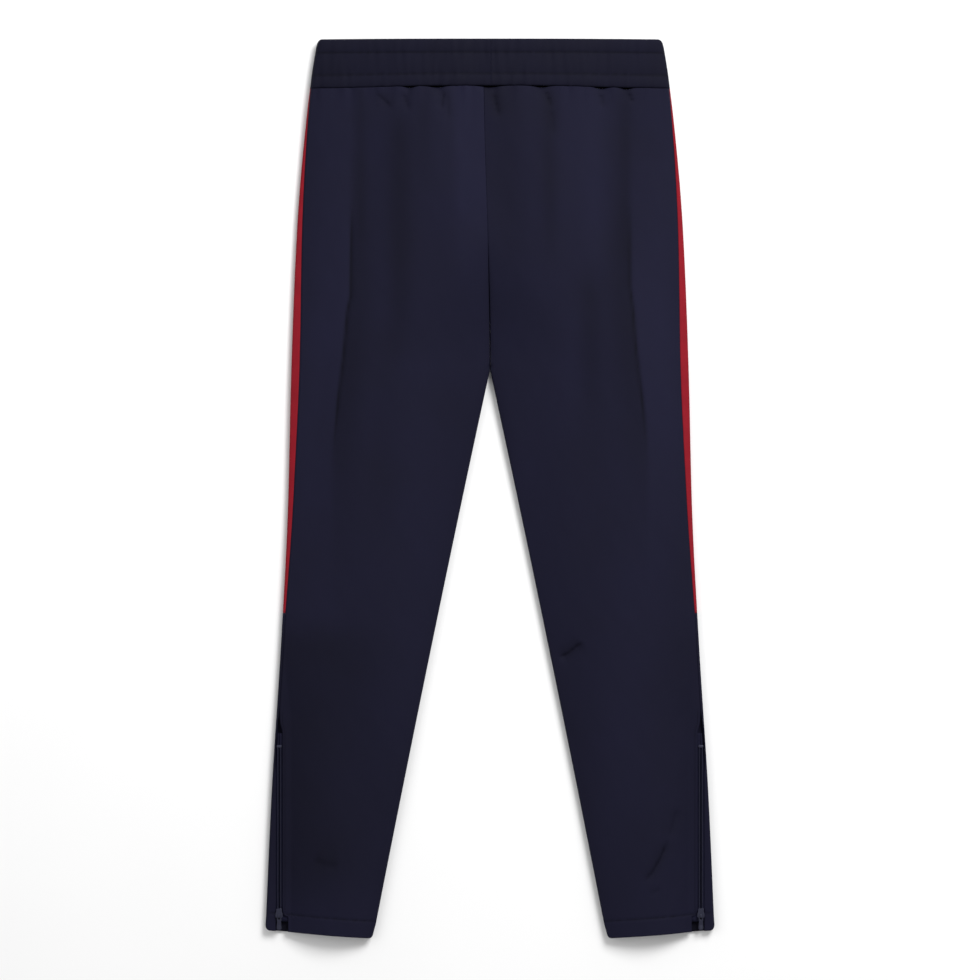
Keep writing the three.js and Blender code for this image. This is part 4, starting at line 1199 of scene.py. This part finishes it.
def make_elastic():
    """One ribbed band that runs through both casings."""
    foot = WAIST_SEAM + (LENGTH - WAIST_SEAM - CASING_CLOTH - ELASTIC_HEIGHT) / 2
    near = CASING_CLOTH + CASING_GAP + 0.05 * MM
    faces = ([], [])
    cloth = []
    for height in np.linspace(foot, foot + ELASTIC_HEIGHT, ELASTIC_ROWS):
        rib = RIB_HEIGHT * (1 + math.sin(2 * math.pi * (height - foot) / ELASTIC_RIB_PITCH)) / 2
        for face, depth in zip(faces, (near + rib, near + ELASTIC_THICKNESS - 0.1 * MM - rib)):
            over, under = (waist_row(height, depth, side)[0] for side in (False, True))
            face.append(np.concatenate([over, under[-1::-1]])[::2])
        place = np.arange(len(face[-1])) * ELASTIC_COLUMN
        cloth.append(np.stack([place, height + 0 * place, 0 * place], -1))
    piece = shell("waist_elastic_band", *map(np.array, (*faces, cloth)), ring=True)
    flat = (4 * WAIST_TOP_REACH, ELASTIC_HEIGHT)
    sheet = {"flat": flat, "held": "gathered", "rests_on": ["waist_casing_front"]}
    fit(piece, "elastic", "waist_elastic", "seat", **sheet)


# ---------------------------------------------------------------- zips
PLATE_Z = SIDE_HEIGHT + FIT
PIVOT_Y = SLIDER_FOOT + PIVOT_FROM_FOOT
PIVOT_Z = PLATE_Z + PLATE_THICKNESS + PIVOT_ABOVE_PLATE
CHAIN_FOOT = SLIDER_FOOT - FIT
TAPE_BEAD = 0.12 * MM
TAPE_BEAD_WIDTH = 0.9 * MM
STEPS_PER_TURN = 14
STOP_CORNER = 0.4 * MM
STOP_BEVEL = 0.25 * MM
PLATE_BEVEL = 0.3 * MM
PLATE_TRIM = 0.06 * MM
POST_BEVEL = 0.1 * MM
FLANGE_BEVEL = 0.12 * MM
ARCH_BEVEL = 0.25 * MM
SLIDER_JOIN = 0.4 * MM
SLIDER_VOXEL = 0.14 * MM
PULL_BEVEL = 0.18 * MM
PULL_VOXEL = 0.11 * MM
GRIP_RIBS = np.array([-0.9, 0.1, 1.1, 2.1]) * MM
GRIP_HALF_WIDTH = 1.6 * MM
GRIP_HALF = 0.2 * MM
GRIP_HEIGHT = 0.14 * MM


def outline_mesh(outlines, low, high, bevel):
    """A flat piece with rounded edges, from an outline and its holes in X and Y."""
    curve = bpy.data.curves.new("outline", "CURVE")
    curve.dimensions = "2D"
    curve.fill_mode = "BOTH"
    curve.extrude = (high - low) / 2 - bevel
    curve.bevel_depth = bevel
    curve.bevel_resolution = 2
    curve.offset = -bevel
    for outline in outlines:
        spline = curve.splines.new("POLY")
        spline.points.add(len(outline) - 1)
        for point, (x, y) in zip(spline.points, outline):
            point.co = (x, y, 0, 1)
        spline.use_cyclic_u = True
    holder = linked(bpy.data.objects.new("outline", curve))
    mesh = bpy.data.meshes.new_from_object(holder.evaluated_get(bpy.context.evaluated_depsgraph_get()))
    bpy.data.objects.remove(holder)
    mesh.transform(Matrix.Translation((0, 0, (low + high) / 2)))
    return mesh


def rectangle(x0, x1, y0, y1):
    return [(x0, y0), (x1, y0), (x1, y1), (x0, y1)]


def round_rectangle(x0, x1, y0, y1, radius, steps=5):
    points = []
    for x, y, start in ((x1, y1, 0), (x0, y1, 1), (x0, y0, 2), (x1, y0, 3)):
        cx = x - radius if start in (0, 3) else x + radius
        cy = y - radius if start in (0, 1) else y + radius
        for turn in np.linspace(start, start + 1, steps) * math.pi / 2:
            points.append((cx + radius * math.cos(turn), cy + radius * math.sin(turn)))
    return points


def joined(name, meshes):
    """One mesh object from several meshes, welded where they meet point to point."""
    work = bmesh.new()
    for mesh in meshes:
        work.from_mesh(mesh)
        bpy.data.meshes.remove(mesh)
    bmesh.ops.remove_doubles(work, verts=work.verts, dist=0.001 * MM)
    bmesh.ops.recalc_face_normals(work, faces=work.faces)
    made = bpy.data.meshes.new(name)
    work.to_mesh(made)
    work.free()
    return linked(bpy.data.objects.new(name, smooth_shaded(made)))


def cast(piece, voxel):
    """Melts joined solids into one casting with soft inner corners."""
    remesh = piece.modifiers.new("melt", "REMESH")
    remesh.mode = "VOXEL"
    remesh.voxel_size = voxel
    remesh.use_smooth_shade = True
    smooth = piece.modifiers.new("soften", "SMOOTH")
    smooth.factor = 0.5
    smooth.iterations = 3
    graph = bpy.context.evaluated_depsgraph_get()
    mesh = bpy.data.meshes.new_from_object(piece.evaluated_get(graph))
    piece.modifiers.clear()
    piece.data = smooth_shaded(mesh)
    return piece


def placed(piece, sign):
    """Mirrors a piece made for the right zip when it is the left one's, and sets it in the row's frame."""
    piece.data.transform(Matrix.Translation((ZIP_X, FOOT_Y, 0)))
    if sign < 0:
        piece.data.transform(Matrix.Scale(-1, 4, (1, 0, 0)))
        piece.data.flip_normals()
    return piece


def make_tape(side, sign, name, edges):
    """A tape of the zip: flat, with a thicker edge at the coil."""
    heights = np.linspace(TAPE_FOOT, TAPE_TOP, 70)
    across = np.array([np.linspace(*edges(height), 14) for height in heights])
    bead = TAPE_BEAD * bell(across - across[:, :1], TAPE_BEAD_WIDTH)
    low = TAPE_Z - TAPE_THICKNESS
    rows = heights[:, None] + 0 * across
    outer = np.stack([sign * across, FOOT_Y + rows, TAPE_Z - TAPE_BEAD + bead], -1)
    inner = np.stack([sign * across, FOOT_Y + rows, low + 0.1 * MM + 0 * across], -1)
    cloth = np.stack([across, rows, 0 * across], -1)
    piece = shell(f"{side}_tape_{name}", outer, inner, cloth)
    flat = (TAPE_WIDTH, TAPE_TOP - TAPE_FOOT)
    layer = "back" if name == "inner" else "front"
    sheet = {"flat": flat, "held": "laid", "rests_on": [f"{side}_leg_{layer}"], "area": cloth_area(outer)}
    fit(piece, "zip_tape", f"{side}_zip_tape_{name}", f"{side}_shin", **sheet)


def make_coil(side, sign, name, way):
    """One row of the chain: a flattened helix of nylon wire."""
    turns = (CHAIN_TOP - CHAIN_FOOT) / COIL_PITCH
    turn = np.linspace(0, 2 * math.pi * turns, int(turns * STEPS_PER_TURN))
    middle = (COIL_INNER + COIL_OUTER) / 2
    half = (COIL_OUTER - COIL_INNER) / 2 - COIL_WIRE
    tall = COIL_HEIGHT / 2 - COIL_WIRE
    phase = turn + (math.pi if name == "outer" else 0)
    x = sign * (ZIP_X + way * (middle - half * np.cos(phase)))
    y = FOOT_Y + CHAIN_FOOT + COIL_WIRE + (CHAIN_TOP - CHAIN_FOOT - 2 * COIL_WIRE) * turn / turn[-1]
    z = COIL_Z + COIL_HEIGHT / 2 + tall * np.sin(phase)
    path = np.stack([x, y, z], -1)[None]
    up = np.stack([-sign * way * np.cos(phase), 0 * phase, np.sin(phase)], -1)[None]
    points, faces = tubes(path, up, COIL_WIRE)
    piece = build_mesh(f"{side}_coil_{name}", points, faces)
    fit(piece, "zip_coil", f"{side}_zip_coil_{name}", f"{side}_shin")


def make_stop(side, sign, name, x0, x1, foot):
    """A stop crimped on the chain: a block with rounded corners and edges."""
    top = COIL_Z + COIL_HEIGHT + STOP_PROUD
    outline = round_rectangle(x0, x1, foot, foot + STOP_LENGTH, STOP_CORNER)
    mesh = outline_mesh([outline], COIL_Z, top, STOP_BEVEL)
    piece = placed(joined(f"{side}_{name}_crimp", [mesh]), sign)
    fit(piece, "zip_metal", f"{side}_zip_{name}", f"{side}_shin")


def plate_outline(broad, narrow):
    """A slider plate: broad and shouldered where the rows part, narrower where they leave it closed."""
    foot, top = SLIDER_FOOT, SLIDER_FOOT + SLIDER_LENGTH
    width = through(
        (foot, broad - 1.5 * MM),
        (foot + 0.5 * MM, broad - 0.6 * MM),
        (foot + 1.4 * MM, broad),
        (foot + 0.42 * SLIDER_LENGTH, broad),
        (foot + 0.7 * SLIDER_LENGTH, narrow),
        (top - 0.9 * MM, narrow),
        (top - 0.25 * MM, narrow - 0.6 * MM),
        (top, narrow - 1.3 * MM),
    )
    ys = np.r_[np.linspace(foot, foot + 1.4 * MM, 7), np.linspace(foot + 2 * MM, top - 0.9 * MM, 12)]
    ys = np.r_[ys, np.linspace(top - 0.7 * MM, top, 5)]
    right = [(float(width(y)), float(y)) for y in ys]
    return right + [(-x, y) for x, y in reversed(right)]


def make_slider(side, sign):
    keel_top = TAPE_Z - TAPE_THICKNESS - FIT
    plate_top = PLATE_Z + PLATE_THICKNESS
    hole_top = PIVOT_Z + ARCH_HOLE_ABOVE_PIVOT
    reach = ARCH_HOLE_HALF + ARCH_WALL
    plates = (
        (SLIDER_HALF_WIDTH, SLIDER_TAIL_HALF_WIDTH, PLATE_Z),
        (SLIDER_KEEL_HALF_WIDTH, SLIDER_KEEL_HALF_WIDTH - 0.5 * MM, keel_top - PLATE_THICKNESS),
    )
    meshes = []
    for broad, narrow, low in plates:
        outline = plate_outline(broad - PLATE_TRIM, narrow - PLATE_TRIM)
        meshes.append(outline_mesh([outline], low, low + PLATE_THICKNESS, PLATE_BEVEL))
    post_foot = SLIDER_FOOT + 0.8 * MM
    post = rectangle(-POST_HALF_WIDTH, POST_HALF_WIDTH, post_foot, post_foot + POST_LENGTH)
    joint_top = PLATE_Z + SLIDER_JOIN
    meshes.append(outline_mesh([post], keel_top - SLIDER_JOIN, joint_top, POST_BEVEL))
    flange_foot, flange_top = SLIDER_FOOT + 1.4 * MM, SLIDER_FOOT + 0.45 * SLIDER_LENGTH
    for x0, x1 in ((-FLANGE_OUTER, -FLANGE_INNER), (FLANGE_INNER, FLANGE_OUTER)):
        flange = rectangle(x0, x1, flange_foot, flange_top)
        meshes.append(outline_mesh([flange], COIL_Z, joint_top, FLANGE_BEVEL))
    ring = round_rectangle(-reach, reach, plate_top - 0.5 * MM, hole_top + ARCH_WALL, 0.8 * MM)
    hole = round_rectangle(-ARCH_HOLE_HALF, ARCH_HOLE_HALF, plate_top, hole_top, 0.35 * MM)
    arch = outline_mesh([ring, hole], -ARCH_HALF_WIDTH, ARCH_HALF_WIDTH, ARCH_BEVEL)
    arch.transform(Matrix(((0, 0, 1, 0), (1, 0, 0, PIVOT_Y), (0, 1, 0, 0), (0, 0, 0, 1))))
    piece = cast(joined(f"{side}_slider_body", [*meshes, arch]), SLIDER_VOXEL)
    fit(placed(piece, sign), "zip_metal", f"{side}_zip_slider", f"{side}_slider")


def make_pull(side, sign):
    """The pull tab: an eye round the arch, and a rounded end with grip ribs."""
    half = PULL_THICKNESS / 2
    centre = PULL_END_HALF_WIDTH - PULL_LENGTH
    turn = np.linspace(math.pi, 2 * math.pi, 17)
    end = [(PULL_END_HALF_WIDTH * math.cos(a), centre + PULL_END_HALF_WIDTH * math.sin(a)) for a in turn]
    ring = PULL_RING_HALF_WIDTH
    turn = np.linspace(0, math.pi, 9)
    crown = [(ring * math.cos(a), half - ring * 0.25 + ring * 0.25 * math.sin(a)) for a in turn]
    outline = [(-ring, -PULL_SHOULDER), *end, (ring, -PULL_SHOULDER), *crown]
    eye_half = ARCH_HALF_WIDTH + FIT - 0.05 * MM
    eye = round_rectangle(-eye_half, eye_half, -PULL_EYE_LENGTH, -half, 0.5 * MM)
    meshes = [outline_mesh([outline, eye], -half, half, PULL_BEVEL)]
    for y in centre + GRIP_RIBS:
        rib = round_rectangle(-GRIP_HALF_WIDTH, GRIP_HALF_WIDTH, y - GRIP_HALF, y + GRIP_HALF, 0.15 * MM)
        meshes.append(outline_mesh([rib], 0, half + GRIP_HEIGHT, 0.1 * MM))
    piece = cast(joined(f"{side}_pull_tab", meshes), PULL_VOXEL)
    tilt = Matrix.Rotation(PULL_DROOP, 4, "X")
    piece.data.transform(Matrix.Translation((0, PIVOT_Y, PIVOT_Z)) @ tilt)
    fit(placed(piece, sign), "zip_metal", f"{side}_zip_pull", f"{side}_pull")


def make_zips():
    def outer_edge(height):
        side = float(side_reach(height))
        return ZIP_X + COIL_INNER, min(ZIP_X + TAPE_WIDTH, side - SIDE_CORNER - 2 * LAYER_GAP)

    for side, sign in SIDES.items():
        make_tape(side, sign, "inner", lambda height: (ZIP_X - COIL_INNER, ZIP_X - TAPE_WIDTH))
        make_tape(side, sign, "outer", outer_edge)
        make_coil(side, sign, "inner", -1)
        make_coil(side, sign, "outer", 1)
        foot = CHAIN_FOOT - FIT - STOP_LENGTH
        make_stop(side, sign, "end_stop", -COIL_OUTER, COIL_OUTER, CHAIN_TOP + FIT)
        make_stop(side, sign, "hem_stop_inner", -COIL_OUTER, -COIL_INNER, foot)
        make_stop(side, sign, "hem_stop_outer", COIL_INNER, COIL_OUTER, foot)
        make_slider(side, sign)
        make_pull(side, sign)


make_legs()
make_stripes_and_hems()
make_leg_stitching()
make_waistband()
make_elastic()
make_zips()

# ---------------------------------------------------------------- floor, lights and camera
FLOOR_HALF = 6
FLOOR_Z = -0.6 * MM
floor_mesh = bpy.data.meshes.new("floor")
floor_corners = rectangle(-FLOOR_HALF, FLOOR_HALF, -FLOOR_HALF, FLOOR_HALF)
floor_mesh.from_pydata([(x, y, FLOOR_Z) for x, y in floor_corners], [], [(0, 1, 2, 3)])
floor = linked(bpy.data.objects.new("floor", floor_mesh))
paper = material("pale_floor", (0.86, 0.86, 0.86), 0.9)
paper_nodes = Nodes(paper)
paper_place = paper_nodes.add("ShaderNodeTexCoord").outputs["Object"]
paper_nodes.color(paper_nodes.noise(paper_place, 3, 2), (0.3, (0.85, 0.85, 0.85)), (0.7, (0.87, 0.87, 0.87)))
floor.data.materials.append(paper)


def softbox(name, place, target, size, power):
    data = bpy.data.lights.new(name, "AREA")
    data.shape = "SQUARE"
    data.size = size
    data.energy = power
    lamp = linked(bpy.data.objects.new(name, data))
    lamp.location = place
    lamp.rotation_euler = (Vector(target) - Vector(place)).to_track_quat("-Z", "Y").to_euler()


softbox("key_light", (1.2, 1.8, 2.3), (0, 0, 0), 1.5, 105)
softbox("fill_light", (-2.2, 0.4, 2.4), (0, 0, 0), 2.0, 18)

world = bpy.data.worlds.new("studio")
bpy.context.scene.world = world
world.use_nodes = True
sky = world.node_tree.nodes["Background"]
sky.inputs["Color"].default_value = (1, 1, 1, 1)
sky.inputs["Strength"].default_value = 0.5

bpy.context.scene.view_settings.view_transform = "Standard"

VIEW_WIDTH = 1.078
VIEW_CENTRE_Y = -0.0011
CROTCH_LEVEL = 15 * MM
LENS = 200.0
SENSOR = 36.0
camera_data = bpy.data.cameras.new("camera")
camera_data.lens = LENS
camera_data.sensor_width = SENSOR
camera = linked(bpy.data.objects.new("camera", camera_data))
camera.location = (0, VIEW_CENTRE_Y, CROTCH_LEVEL + VIEW_WIDTH * LENS / SENSOR)
bpy.context.scene.camera = camera
